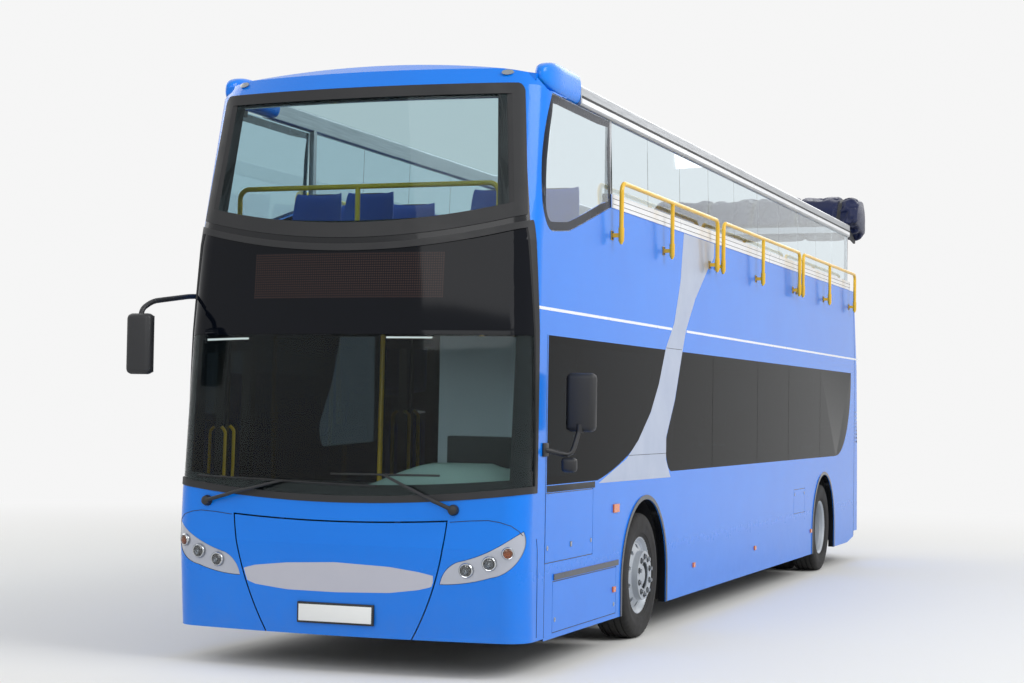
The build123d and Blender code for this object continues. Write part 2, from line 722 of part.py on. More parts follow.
# columns: first Y, last Y of each length of frame
frame_lengths = [(-5400, front_axle_y - box_half - 40), (front_axle_y + box_half + 40, 5500)]
with BuildPart() as chassis_frame:
    for first_y, last_y in frame_lengths:
        bays = round((last_y - first_y) / 1050)
        with BuildSketch(Plane.XY.offset(frame_z)):
            for side in (1, -1):
                with Locations((side * frame_rail_x, (first_y + last_y) / 2)):
                    Rectangle(80, last_y - first_y)
            for bay in range(bays + 1):
                cross_y = first_y + frame_bar / 2 + bay * (last_y - first_y - frame_bar) / bays
                beside_wheel = abs(cross_y - rear_axle_y) < box_half + frame_bar
                with Locations((0, cross_y)):
                    Rectangle(2 * (frame_rail_x if beside_wheel else floor_half), frame_bar)
        extrude(amount=frame_height)
    # columns: Y of a pair of uprights, height of the platform's underside there
    for post_y, post_head in ((platform_y + 90, 510), (3100, 710), (4710, 1090), (5465, 1090)):
        for side in (1, -1):
            with Locations((side * frame_rail_x, post_y, frame_z + frame_height - 1)):
                Box(60, 60, post_head - frame_z - frame_height + 1, align=(Align.CENTER, Align.CENTER, Align.MIN))
    # recovery eyes on tongues in front of and behind the frame
    for tongue_end, frame_end, eye_y in ((tow_front_y - 60, -5400, tow_front_y), (tow_rear_y + 60, 5500, tow_rear_y)):
        low_y, high_y = sorted((tongue_end, frame_end))
        with BuildSketch(Plane.XY.offset(frame_z)):
            with Locations((0, (low_y + high_y) / 2)):
                RectangleRounded(120, high_y - low_y + 20, 9)
            with Locations((0, eye_y)):
                Circle(tow_eye_radius, mode=Mode.SUBTRACT)
        extrude(amount=frame_height)
save(chassis_frame.part, "chassis_frame")


# Wheels
def tyre(centre_x, axle_y):
    """Tyre as a ring revolved about the wheel's axis."""
    half = tyre_width / 2
    with BuildPart() as ring:
        with BuildSketch(Plane((centre_x, axle_y, tyre_radius))):
            with BuildLine():
                Polyline(
                    (-98, rim_seat), (-98, rim_seat + 20), (-half + 10, 326), (-half, 372), (-half + 4, 424),
                    (-half + 20, 464), (-half + 44, 477), (0, tyre_radius), (half - 44, 477), (half - 20, 464),
                    (half - 4, 424), (half, 372), (half - 10, 326), (98, rim_seat + 20), (98, rim_seat), close=True,
                )
            make_face()
        revolve(axis=Axis((centre_x, axle_y, tyre_radius), (1, 0, 0)))
    return ring.part


# Rim profiles as (distance outwards from the wheel's middle, radius)
bead = rim_seat - 0.2
spindle_radius = 35
casing_radius = 58
bore_gap = 0.05
barrel = [(112, 286), (112, 302), (98.3, 302), (98.3, bead), (-98.3, bead), (-98.3, 302), (-110, 302)]
front_rim_profile = barrel + [
    (-110, 274), (56, 262), (56, 246), (92, 186), (92, 104), (-60, 100), (-60, spindle_radius + bore_gap),
    (116, spindle_radius + bore_gap), (116, 0), (146, 0), (146, 64), (136, 86), (108, 90), (108, 178), (150, 178),
    (150, 104), (158, 104), (158, 186), (112, 190), (78, 250), (88, 268),
]
rear_disc = -twin_pitch / 2
rear_rim_profile = barrel + [
    (-110, 270), (-130, 248), (rear_disc, 190), (rear_disc, casing_radius + bore_gap),
    (-66, casing_radius + bore_gap), (-66, 0), (-36, 0), (-36, 104), (-48, 126), (rear_disc + 16, 132),
    (rear_disc + 16, 190), (-114, 240), (-92, 262), (60, 262), (96, 270),
]
inner_rim_profile = barrel + [
    (-110, 270), (-130, 248), (rear_disc, 190), (rear_disc, casing_radius + bore_gap),
    (rear_disc + 16, casing_radius + bore_gap), (rear_disc + 16, 190), (-114, 240), (-92, 262), (60, 262), (96, 270),
]


def rim(centre_x, axle_y, side, profile, hole_radius):
    """Wheel disc revolved about the axle, with a ring of hand holes."""
    middle = Plane((centre_x, axle_y, tyre_radius), x_dir=(side, 0, 0), z_dir=(0, 0, 1))
    with BuildPart() as disc:
        with BuildSketch(middle):
            with BuildLine():
                Polyline(*profile, close=True)
            make_face()
        revolve(axis=Axis((centre_x, axle_y, tyre_radius), (1, 0, 0)))
        with BuildSketch(Plane((centre_x - side * 200, axle_y, tyre_radius), z_dir=(side, 0, 0))):
            with PolarLocations(hole_radius, 10):
                Circle(19)
        extrude(amount=400, mode=Mode.SUBTRACT)
    return disc.part


for side, name in ((1, "left"), (-1, "right")):
    save(tyre(side * track_x, front_axle_y), f"front_tyre_{name}")
    save(rim(side * track_x, front_axle_y, side, front_rim_profile, 220), f"front_rim_{name}")
    outer = tyre(side * track_x, rear_axle_y)
    inner = tyre(side * (track_x - twin_pitch), rear_axle_y)
    save(outer + inner, f"rear_tyres_{name}")
    outer = rim(side * track_x, rear_axle_y, side, rear_rim_profile, 216)
    inner = rim(side * (track_x - twin_pitch), rear_axle_y, -side, inner_rim_profile, 216)
    save(outer + inner, f"rear_rims_{name}")

# Front axle beam with king pins, and the steered knuckles with their stub axles
pin_foot = 385
pin_length = 190
beam_half = 45
with BuildPart() as front_axle:
    with BuildSketch(Plane.XZ.offset(-front_axle_y - beam_half)):
        with BuildLine():
            Polyline(
                (-kingpin_x, 430), (-kingpin_x, spring_foot), (-470, spring_foot), (-434, 290), (434, 290),
                (470, spring_foot), (kingpin_x, spring_foot), (kingpin_x, 430), (840, 430), (640, 385),
                (530, 205), (-530, 205), (-640, 385), (-840, 430), close=True,
            )
        make_face()
    extrude(amount=2 * beam_half)
    for side in (1, -1):
        with BuildSketch(Plane((side * kingpin_x, front_axle_y, pin_foot))):
            Circle(kingpin_radius)
        extrude(amount=pin_length)
        with BuildSketch(Plane((side * kingpin_x, front_axle_y, 430))):
            Circle(beam_half)
        extrude(amount=spring_foot - 430)
save(front_axle.part, "front_axle")

fork_gap = 2
for side, name in ((1, "left"), (-1, "right")):
    with BuildPart() as knuckle:
        # a fork round the beam's end, closed on its outer side
        with BuildSketch(Plane((side * kingpin_x, front_axle_y, pin_foot))):
            Circle(48)
            with Locations((side * 38, 0)):
                Rectangle(76, 96)
        extrude(amount=pin_length)
        with BuildSketch(Plane((side * kingpin_x, front_axle_y, 430 - fork_gap))):
            Circle(beam_half + 8)
            with Locations((-side * 60, 0)):
                Rectangle(120, 120)
        extrude(amount=spring_foot - 430 + 2 * fork_gap, mode=Mode.SUBTRACT)
        with BuildSketch(Plane((side * kingpin_x, front_axle_y, pin_foot - 1))):
            Circle(kingpin_radius + bore_gap)
        extrude(amount=pin_length + 2, mode=Mode.SUBTRACT)
        with BuildSketch(Plane((side * (kingpin_x + 60), front_axle_y, tyre_radius), z_dir=(side, 0, 0))):
            Circle(spindle_radius)
        extrude(amount=track_x + 116 - seat_gap - kingpin_x - 60)
    save(knuckle.part, f"knuckle_{name}")

# Rear axle: banjo casing with the final drive in its middle
rear_spring_x = 340
rear_spring_reach = 330       # distance of the rear air springs before and behind the axle
rear_spring_foot = tyre_radius - 35
with BuildPart() as rear_axle:
    with BuildSketch(Plane((-620, rear_axle_y, tyre_radius), z_dir=(1, 0, 0))):
        Circle(85)
    extrude(amount=1240)
    casing_end = track_x - 66 - seat_gap
    with BuildSketch(Plane((-casing_end, rear_axle_y, tyre_radius), z_dir=(1, 0, 0))):
        Circle(casing_radius)
    extrude(amount=2 * casing_end)
    with Locations((0, rear_axle_y, tyre_radius)):
        Sphere(205)
    # carrier beams for the air springs, one on each side
    for side in (1, -1):
        with Locations((side * rear_spring_x, rear_axle_y, tyre_radius - 60)):
            Box(90, 2 * rear_spring_reach + 120, 50)
save(rear_axle.part, "rear_axle")

# Engine, as one block at the tail
with BuildPart() as engine_block:
    with Locations((0, 5380, frame_z + frame_height + seat_gap)):
        Box(860, 950, 740, align=(Align.CENTER, Align.CENTER, Align.MIN))
save(engine_block.part, "engine_block")


# Door leaves, each a glazed panel with a thick frame and a thin clear field
def door_leaf(start_y, end_y, pivot_y):
    """A leaf from start_y to end_y, with pivot pins between the sill and the head at pivot_y."""
    skin_x = -half_body
    height = door_head - door_sill - 2 * leaf_edge
    middle = ((start_y + end_y) / 2, (door_sill + door_head) / 2)
    width = end_y - start_y
    with BuildPart() as leaf:
        with BuildSketch(Plane.YZ.offset(skin_x)):
            with Locations(middle):
                Rectangle(width, height)
        extrude(amount=leaf_thick)
        with BuildSketch(Plane.YZ.offset(skin_x + glass_thick)):
            with Locations(middle):
                Rectangle(width - 130, height - 180)
        extrude(amount=leaf_thick, mode=Mode.SUBTRACT)
        with BuildSketch(Plane((skin_x + leaf_thick / 2, pivot_y, door_sill + seat_gap))):
            Circle(12)
        extrude(amount=door_head - door_sill - 2 * seat_gap)
    return leaf.part


for door, name in ((front_door, "front_door"), (middle_door, "middle_door")):
    centre = (door[0] + door[1]) / 2
    first, last = door[0] + leaf_edge, door[1] - leaf_edge
    save(door_leaf(first, centre - leaf_edge / 2, first + leaf_pivot), f"{name}_leaf_a")
    save(door_leaf(centre + leaf_edge / 2, last, last - leaf_pivot), f"{name}_leaf_b")

# Open deck: rails, side panes and the rear screen
deck_end = 5500
lower_rail_height = 100
rail_front = pod_back + 4     # the pods' round backs bulge a little past their own line
with BuildPart() as top_rails:
    for side in (1, -1):
        rail_x = side * (half_width(rail_foot_z) - 14)
        with BuildSketch(Plane.XZ.offset(-rail_front)):
            with Locations((rail_x, (rail_top_z + rail_foot_z) / 2)):
                RectangleRounded(rail_depth, rail_top_z - rail_foot_z, 18)
        extrude(amount=rail_front - deck_end)
        post_foot = belt_z + lower_rail_height
        for post_y in (hoop_seam + 28, deck_end - 30):
            with Locations((side * (half_width(post_foot) - 42), post_y, post_foot)):
                Box(40, 50, rail_foot_z + 20 - post_foot, align=(Align.CENTER, Align.CENTER, Align.MIN))
    with Locations((0, deck_end - 30, 3960)):
        Box(2 * half_width(rail_foot_z) - 60, 50, 70)
save(top_rails.part, "top_rails")

with BuildPart() as lower_rails:
    for side in (1, -1):
        with BuildSketch(Plane.XZ.offset(-hoop_seam)):
            with Locations((side * (half_width(belt_z) - 20), belt_z + lower_rail_height / 2)):
                Rectangle(56, lower_rail_height)
        extrude(amount=hoop_seam - deck_end)
save(lower_rails.part, "lower_rails")

with BuildPart() as deck_panes:
    low = belt_z + lower_rail_height
    for side in (1, -1):
        pane_count = round((deck_end - hoop_seam) / pane_pitch)
        for index in range(pane_count):
            start = hoop_seam + 60 + index * (deck_end - hoop_seam - 120) / pane_count
            end = hoop_seam + 60 + (index + 1) * (deck_end - hoop_seam - 120) / pane_count - 4
            with BuildSketch(Plane.XZ.offset(-start)):
                with BuildLine():
                    Polyline(
                        (side * (half_width(low) - 12), low),
                        (side * (half_width(rail_foot_z) - 12), rail_foot_z),
                        (side * (half_width(rail_foot_z) - 12 - pane_thick), rail_foot_z),
                        (side * (half_width(low) - 12 - pane_thick), low),
                        close=True,
                    )
                make_face()
            extrude(amount=start - end)
    quarter_prism = extrude(Plane.YZ * quarter_face(glass_gap), amount=1400, both=True, mode=Mode.PRIVATE)
    add(quarter_prism & end_shell(2860, 3869, 4, 4 + glass_thick, hoop_seam - 5, -1))
save(deck_panes.part, "deck_panes")

# Yellow guard rails outside the lower rails
guard_x = 1325
guard_top = 3410
guard_foot = 2985
guard_radius = 17
# columns: first post Y, middle post Y, last post Y
guard_table = [(-4050, -2670, -1210), (-1000, 560, 2240), (2420, 3870, 5420)]
with BuildPart() as guard_rails:
    for side in (1, -1):
        for first_y, middle_y, last_y in guard_table:
            with BuildLine() as hoop_line:
                FilletPolyline(
                    (side * guard_x, first_y, guard_foot),
                    (side * guard_x, first_y, guard_top),
                    (side * guard_x, last_y, guard_top),
                    (side * guard_x, last_y, guard_foot),
                    radius=70,
                )
            with BuildSketch(Plane((side * guard_x, first_y, guard_foot))):
                Circle(guard_radius)
            sweep(path=hoop_line.line)
            with BuildSketch(Plane((side * guard_x, middle_y, guard_foot))):
                Circle(guard_radius - 1)
            extrude(amount=guard_top - guard_foot)
            for post_y in (first_y, middle_y, last_y):
                inner_x = half_width(guard_foot + 25) + seat_gap
                with Locations((side * (inner_x + guard_x) / 2, post_y, guard_foot + 40)):
                    Box(guard_x - inner_x, 24, 30)
save(guard_rails.part, "guard_rails")

# Folded fabric roof on its bows, over the rear end of the rails
fold_half = 1320
fold_front = 5560
fold_back = 6340
fold_under = 3880
fold_crest = 4430


def fold_section(x, shrink):
    """Side view section of the bundle at x, drawn in by shrink on every side."""
    with BuildSketch(Plane.YZ.offset(x)) as section:
        with BuildLine():
            front = fold_front + shrink
            back = fold_back - shrink
            crest = fold_crest - shrink
            under = fold_under + shrink
            ThreePointArc((front, 4080), (5740, crest - 70 + shrink / 4), (6020, crest))
            ThreePointArc((6020, crest), (back - 80, 4290), (back, 4060))
            ThreePointArc((back, 4060), (back - 70, under + 40), (6130, under))
            Polyline((6130, under), (front, 4040), (front, 4080))
        make_face()
    return section.sketch


with BuildPart() as folded_roof:
    loft(
        [
            fold_section(-fold_half, 90),
            fold_section(-fold_half + 90, 0),
            fold_section(fold_half - 90, 0),
            fold_section(fold_half, 90),
        ],
        ruled=True,
    )
save(folded_roof.part, "folded_roof")

# Side plates on the rails' ends carry the bundle
bow_x = 1175
with BuildPart() as roof_bows:
    for side in (1, -1):
        with BuildSketch(Plane.YZ.offset(side * bow_x)):
            with BuildLine():
                Polyline(
                    (5400, rail_top_z), (fold_front + 2, 4040 - 1), (6130, fold_under - seat_gap), (6120, 3845),
                    (5640, 3900), (deck_end, 3905), (deck_end, rail_top_z), close=True,
                )
            make_face()
        extrude(amount=side * 24)
save(roof_bows.part, "roof_bows")


# Seats: a double seat with one shared frame, repeated in rows
def double_seat(width):
    with BuildPart() as seat:
        with BuildSketch(Plane.YZ.offset(-width / 2)):
            with BuildLine():
                Polyline(
                    (-230, 400), (-240, 450), (170, 430), (250, 1010), (290, 1010), (240, 390), (60, 385), (60, 0),
                    (0, 0), (0, 385), close=True,
                )
            make_face()
        extrude(amount=width)
    return seat.part


seat_width = 840
seat_x = 720
with BuildPart() as upper_seats:
    places = []
    for row in range(13):
        row_y = -4700 + row * 790
        for side in (1, -1):
            if side < 0 or not stairwell_y[0] - 300 < row_y < stairwell_y[1] + 300:
                places.append((side * seat_x, row_y, deck_z))
    with Locations(*places):
        add(double_seat(seat_width))
save(upper_seats.part, "upper_seats")

with BuildPart() as lower_seats:
    left_rows = [(seat_x, -1700 + row * 780, floor_z) for row in range(5)]
    right_rows = [(-seat_x, 640 + row * 780, floor_z) for row in range(2)]
    rear_rows = [(side * seat_x, *row) for side in (1, -1) for row in ((2330, floor_z), (3020, 760), (4900, 1140))]
    with Locations(*left_rows, *right_rows, *rear_rows):
        add(double_seat(seat_width))
save(lower_seats.part, "lower_seats")

# Driver's place
driver = (650, -4990)
with BuildPart() as driver_seat:
    with Locations((driver[0], driver[1], floor_z)):
        Box(320, 340, 440, align=(Align.CENTER, Align.CENTER, Align.MIN))
    with Locations((driver[0], driver[1] - 20, floor_z + 440)):
        Box(500, 480, 110, align=(Align.CENTER, Align.CENTER, Align.MIN))
    with Locations((driver[0], driver[1] + 200, floor_z + 440)):
        Box(480, 100, 720, align=(Align.CENTER, Align.CENTER, Align.MIN))
save(driver_seat.part, "driver_seat")

with BuildPart() as dashboard:
    with BuildSketch(Plane.YZ.offset(-1000)):
        with BuildLine():
            dash_foot = floor_z + seat_gap
            Polyline(
                (-5760, dash_foot), (-5760, 1090), (-5560, 1130), (-5400, 1060), (-5400, 960), (-5620, 840),
                (-5640, dash_foot), close=True,
            )
        make_face()
    extrude(amount=2000)
save(dashboard.part, "dashboard")

with BuildPart() as steering_wheel:
    wheel_plane = Plane((driver[0], -5290, 1130), z_dir=(0, 0.3, 0.954))
    with BuildSketch(wheel_plane):
        Circle(232)
        Circle(206, mode=Mode.SUBTRACT)
        Rectangle(424, 46)
        Circle(60)
    extrude(amount=26)
    with BuildSketch(wheel_plane):
        Circle(38)
    extrude(amount=-900)
    split(bisect_by=Plane.XY.offset(floor_z + seat_gap), keep=Keep.TOP)
save(steering_wheel.part, "steering_wheel")

with BuildPart() as cab_partition:
    with Locations(((stair_x[0] + floor_half) / 2 - 130, -4700, floor_z)):
        Box(floor_half - stair_x[0] + 250, 25, 1850, align=(Align.CENTER, Align.CENTER, Align.MIN))
save(cab_partition.part, "cab_partition")

# Staircase over the front wheel box, with its side panel
with BuildPart() as staircase:
    step_points = [(stair_start, floor_z)]
    for step in range(stair_steps - 1):
        step_points.append((stair_start + step * stair_run, floor_z + (step + 1) * stair_rise))
        step_points.append((stair_start + (step + 1) * stair_run, floor_z + (step + 1) * stair_rise))
    under_deck = deck_z - deck_thick
    step_points.append((tread_end, under_deck))
    step_points.append((tread_end + stair_riser, under_deck))
    step_points.append((tread_end + stair_riser, under_deck - stair_rise))
    step_points.append((stair_start + 160, floor_z))
    with BuildSketch(Plane.YZ.offset(stair_x[0])):
        with BuildLine():
            Polyline(*step_points, close=True)
        make_face()
    extrude(amount=stair_x[1] - stair_x[0])
    with BuildSketch(Plane.YZ.offset(stair_x[0] - 20)):
        with BuildLine():
            Polyline(
                (stair_start + 300, floor_z), (stair_start + 300, 1250), (-3500, under_deck),
                (tread_end + stair_riser, under_deck), (tread_end + stair_riser, floor_z), close=True,
            )
        make_face()
    extrude(amount=20)
    with BuildSketch(Plane.YZ.offset(arch_box_inner - 10)):
        with Locations((front_axle_y, arch_z)):
            Circle(box_half + glass_gap)
        with Locations((front_axle_y, arch_z / 2)):
            Rectangle(2 * (box_half + glass_gap), arch_z)
    extrude(amount=900, mode=Mode.SUBTRACT)
save(staircase.part, "staircase")

# Sign box on the upper floor, behind the dark upper part of the lower screen
with BuildPart() as sign_box:
    with Locations((0, -5650, deck_z + seat_gap)):
        Box(1420, 160, 450, align=(Align.CENTER, Align.CENTER, Align.MIN))
save(sign_box.part, "sign_box")

# Inside rails: the padded rail behind the upper windscreen and the saloon's poles
with BuildPart() as grab_rails:
    rail_z = 3275
    rail_y = -5330
    with BuildLine() as front_rail_line:
        FilletPolyline(
            (-1120, rail_y, deck_z), (-1120, rail_y, rail_z), (850, rail_y, rail_z), (850, rail_y, deck_z), radius=70,
        )
    with BuildSketch(Plane((-1120, rail_y, deck_z))):
        Circle(18)
    sweep(path=front_rail_line.line)
    with BuildSketch(Plane((-200, rail_y, deck_z))):
        Circle(18)
    extrude(amount=rail_z - deck_z)
    for pole_x, pole_y in ((-330, -3990), (280, -1960), (280, 380), (-280, 1180), (-480, -1250), (-480, 350)):
        with BuildSketch(Plane((pole_x, pole_y, floor_z))):
            Circle(17)
        extrude(amount=deck_z - deck_thick - floor_z)
save(grab_rails.part, "grab_rails")

# Mirrors on their arms
with BuildPart() as mirrors:
    # left: a bracket on the body's side carries an upright head
    with BuildLine() as left_arm:
        FilletPolyline((half_body + seat_gap, -5530, 1480), (1425, -5420, 1440), (1455, -5345, 1620), radius=40)
    with BuildSketch(Plane(left_arm.line @ 0, z_dir=left_arm.line % 0)):
        Circle(16)
    sweep(path=left_arm.line)
    with BuildSketch(Plane.XY.offset(1600)):
        with Locations((1455, -5315)):
            RectangleRounded(205, 90, 30)
    extrude(amount=390)
    # right: a hanging arm in front of the corner
    with BuildLine() as right_arm:
        FilletPolyline(
            (-half_width(2500) - seat_gap, -5500, 2500), (-1335, -5620, 2500), (-1385, -6055, 2440),
            (-1400, -6165, 2380), (-1400, -6175, 2300), radius=40,
        )
    with BuildSketch(Plane(right_arm.line @ 0, z_dir=right_arm.line % 0)):
        Circle(18)
    sweep(path=right_arm.line)
    with BuildSketch(Plane.XY.offset(2000)):
        with Locations((-1400, -6185)):
            RectangleRounded(190, 95, 30)
    extrude(amount=330)
    add(end_shell(1400, 2600, 0, wall, hoop_seam, -1), mode=Mode.SUBTRACT)
save(mirrors.part, "mirrors")

# Wipers lying along the foot of the screen
with BuildPart() as wipers:
    # columns: pivot X, pivot Z, arm end X, arm end Z
    for pivot_x, pivot_z, tip_x, tip_z in ((-990, 1095, -60, 1190), (813, 1088, -80, 1300)):
        with BuildLine(mode=Mode.PRIVATE) as arm:
            bar = Line((pivot_x, -5990, pivot_z), (tip_x, -6045, tip_z))
        with BuildSketch(Plane(bar @ 0, z_dir=bar % 0)):
            Rectangle(22, 14)
        extrude(amount=bar.length)
        with BuildSketch(Plane((pivot_x, -6005, pivot_z), z_dir=(0, 1, 0))):
            Circle(26)
        extrude(amount=140)
    add(end_shell(1000, 1200, -seat_gap, 2 * wall, nose_seam, -1), mode=Mode.SUBTRACT)
save(wipers.part, "wipers")

# Small lamps: roof markers and side markers
with BuildPart() as marker_lamps:
    roof_lamps = end_shell(3960, 4060, -14, -seat_gap, brow_back, -1)
    for side in (1, -1):
        with BuildSketch(Plane.XZ.offset(5400), mode=Mode.PRIVATE) as lamp:
            with Locations((side * 985, 3984)):
                Ellipse(38, 20)
        add(extrude(lamp.sketch, amount=500, mode=Mode.PRIVATE) & roof_lamps)
        # columns: Y, Z, length, height
        for lamp_y, lamp_z, long, high in (
            (-3940, 1030, 130, 60), (-3970, 440, 60, 40), (-1710, 458, 60, 40), (540, 460, 60, 40),
            (3180, 479, 60, 40),
        ):
            with Locations((side * (half_body + 6), lamp_y, lamp_z)):
                Box(12, long, high)
save(marker_lamps.part, "marker_lamps")

with BuildPart() as rear_lamps:
    lamp_shell = end_shell(400, 1500, -10, 0, tail_seam, 1)
    for side in (1, -1):
        with BuildSketch(Plane.XZ.offset(-7000)):
            with Locations((side * 1080, 900)):
                RectangleRounded(150, 640, 60)
        extrude(amount=1000)
    add(lamp_shell, mode=Mode.INTERSECT)
save(rear_lamps.part, "rear_lamps")

with BuildPart() as air_springs:
    for side in (1, -1):
        with BuildSketch(Plane((side * spring_x, front_axle_y, spring_foot))):
            Circle(spring_radius)
        extrude(amount=spring_head - spring_foot)
        for way in (1, -1):
            spring_y = rear_axle_y + way * rear_spring_reach
            with BuildSketch(Plane((side * rear_spring_x, spring_y, rear_spring_foot))):
                Circle(spring_radius)
            extrude(amount=platform_steps[1][1] - platform_thick - rear_spring_foot)
save(air_springs.part, "air_springs")
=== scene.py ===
import json
import math
import random
import bmesh
import bpy
from mathutils import Matrix, Vector
from mathutils.bvhtree import BVHTree

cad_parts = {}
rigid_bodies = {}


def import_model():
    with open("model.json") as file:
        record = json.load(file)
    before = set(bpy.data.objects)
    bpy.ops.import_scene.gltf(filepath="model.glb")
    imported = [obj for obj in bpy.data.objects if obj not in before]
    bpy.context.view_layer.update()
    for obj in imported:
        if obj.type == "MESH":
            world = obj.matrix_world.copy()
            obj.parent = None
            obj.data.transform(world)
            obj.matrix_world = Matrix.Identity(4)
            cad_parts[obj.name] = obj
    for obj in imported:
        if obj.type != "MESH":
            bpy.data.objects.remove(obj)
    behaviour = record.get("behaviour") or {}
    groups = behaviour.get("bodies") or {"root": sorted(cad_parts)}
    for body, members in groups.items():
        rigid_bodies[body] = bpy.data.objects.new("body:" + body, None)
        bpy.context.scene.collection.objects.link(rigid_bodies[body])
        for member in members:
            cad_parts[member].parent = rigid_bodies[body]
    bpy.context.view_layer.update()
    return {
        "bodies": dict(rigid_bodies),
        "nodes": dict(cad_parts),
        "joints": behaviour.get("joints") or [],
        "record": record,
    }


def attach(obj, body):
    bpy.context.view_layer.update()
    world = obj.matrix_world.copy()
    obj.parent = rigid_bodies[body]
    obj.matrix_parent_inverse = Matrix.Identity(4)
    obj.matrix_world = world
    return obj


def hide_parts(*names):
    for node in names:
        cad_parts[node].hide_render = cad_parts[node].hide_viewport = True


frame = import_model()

nodes = frame["nodes"]
random.seed(4)  # the folded roof creases the same way each run
print("frame loaded,", len(nodes), "nodes")

# Body sizes that many pieces lie on, in metres; the sides lean in above the waist
bodyShape = {
    "half": 1.275, "waist": 2.25, "lean": 0.028,
    "wheelCentre": 0.48, "frontAxle": -3.17, "rearAxle": 3.89, "track": 1.117, "twin": 0.308,
}
xAxis, yAxis, zAxis = Vector((1, 0, 0)), Vector((0, 1, 0)), Vector((0, 0, 1))
# Y in front of the nose and behind the tail, and X beside the body, where rays start
ahead, behind, beside = -7.5, 7.5, 2


# Small tools shared by all the pieces
def hexLinear(code):
    # sRGB hex to linear light
    channels = [int(code[i:i + 2], 16) / 255 for i in (1, 3, 5)]
    return [c / 12.92 if c <= 0.04045 else ((c + 0.055) / 1.055) ** 2.4 for c in channels] + [1.0]


def perMetre(millimetres):
    # a pattern's scale from the real size of its grain
    return 1000 / millimetres


def addNode(tree, kind, settings=None, links=None):
    node = tree.nodes.new(kind)
    for key, value in (settings or {}).items():
        if isinstance(key, str) and hasattr(node, key):
            setattr(node, key, value)
        else:
            node.inputs[key].default_value = value
    for key, socket in (links or {}).items():
        tree.links.new(socket, node.inputs[key])
    return node


def newMaterial(name, settings):
    material = bpy.data.materials.new(name)
    material.use_nodes = True
    tree = material.node_tree
    tree.nodes.clear()
    shader = addNode(tree, "ShaderNodeBsdfPrincipled", settings)
    addNode(tree, "ShaderNodeOutputMaterial", links={"Surface": shader.outputs[0]})
    return material, tree, shader


def halfWidth(z):
    return bodyShape["half"] - bodyShape["lean"] * max(0, z - bodyShape["waist"])


def blend(low, high, share):
    return low + (high - low) * share


def finishMesh(name, bm, materials, body="bus", smooth=0):
    bmesh.ops.recalc_face_normals(bm, faces=bm.faces)
    mesh = bpy.data.meshes.new(name)
    bm.to_mesh(mesh)
    bm.free()
    piece = bpy.data.objects.new(name, mesh)
    bpy.context.scene.collection.objects.link(piece)
    for material in materials if isinstance(materials, list) else [materials]:
        mesh.materials.append(material)
    if smooth:
        mesh.shade_smooth()
        bpy.context.view_layer.objects.active = piece
        piece.select_set(True)
        bpy.ops.object.shade_smooth_by_angle(angle=math.radians(smooth))
        piece.select_set(False)
    if body:
        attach(piece, body)
    return piece


def addBox(bm, low, high, material=0, bevel=0.0, segments=2):
    # low and high are any two opposite corners
    spans = [sorted(pair) for pair in zip(low, high)]
    corners = [bm.verts.new((x, y, z)) for x in spans[0] for y in spans[1] for z in spans[2]]
    sides = [(0, 1, 3, 2), (4, 6, 7, 5), (0, 4, 5, 1), (2, 3, 7, 6), (0, 2, 6, 4), (1, 5, 7, 3)]
    made = [bm.faces.new([corners[i] for i in side]) for side in sides]
    for face in made:
        face.material_index = material
    if bevel:
        edges = {edge for face in made for edge in face.edges}
        bmesh.ops.bevel(bm, geom=list(edges), offset=bevel, segments=segments, affect="EDGES", profile=0.5)


def addRing(bm, centre, across, upward, radius, sides):
    turns = [2 * math.pi * k / sides for k in range(sides)]
    return [bm.verts.new(centre + (across * math.cos(t) + upward * math.sin(t)) * radius) for t in turns]


def bridge(bm, low, high, material=0):
    # faces between two closed rings of the same count
    for k in range(len(low)):
        j = (k + 1) % len(low)
        bm.faces.new((low[k], low[j], high[j], high[k])).material_index = material


def addPrism(bm, first, second, material=0):
    # a closed solid between two outlines of the same count
    rings = [[bm.verts.new(p) for p in outline] for outline in (first, second)]
    for ring in rings:
        bm.faces.new(ring).material_index = material
    bridge(bm, *rings, material)


def addTube(bm, points, radius, sides=12, material=0):
    # radius is one number, or a list with one for each point
    points = [Vector(p) for p in points]
    sizes = radius if isinstance(radius, list) else [radius] * len(points)
    rings = []
    normal = None
    for i, (point, size) in enumerate(zip(points, sizes)):
        along = (points[min(i + 1, len(points) - 1)] - points[max(i - 1, 0)]).normalized()
        if normal is None:
            normal = along.orthogonal().normalized()
        normal = (normal - along * normal.dot(along)).normalized()
        rings.append(addRing(bm, point, normal, along.cross(normal), size, sides))
    for low, high in zip(rings, rings[1:]):
        bridge(bm, low, high, material)
    for ring in (rings[0], rings[-1]):
        bm.faces.new(ring).material_index = material


def roundPath(corners, radius, steps=5):
    path = [Vector(corners[0])]
    for before, here, after in zip(corners, corners[1:], corners[2:]):
        here = Vector(here)
        back = (Vector(before) - here).normalized()
        onward = (Vector(after) - here).normalized()
        reach = min(radius, (Vector(before) - here).length / 2, (Vector(after) - here).length / 2)
        for k in range(steps + 1):
            t = k / steps
            path.append(here + back * reach * (1 - t) ** 2 + onward * reach * t ** 2)
    path.append(Vector(corners[-1]))
    return path


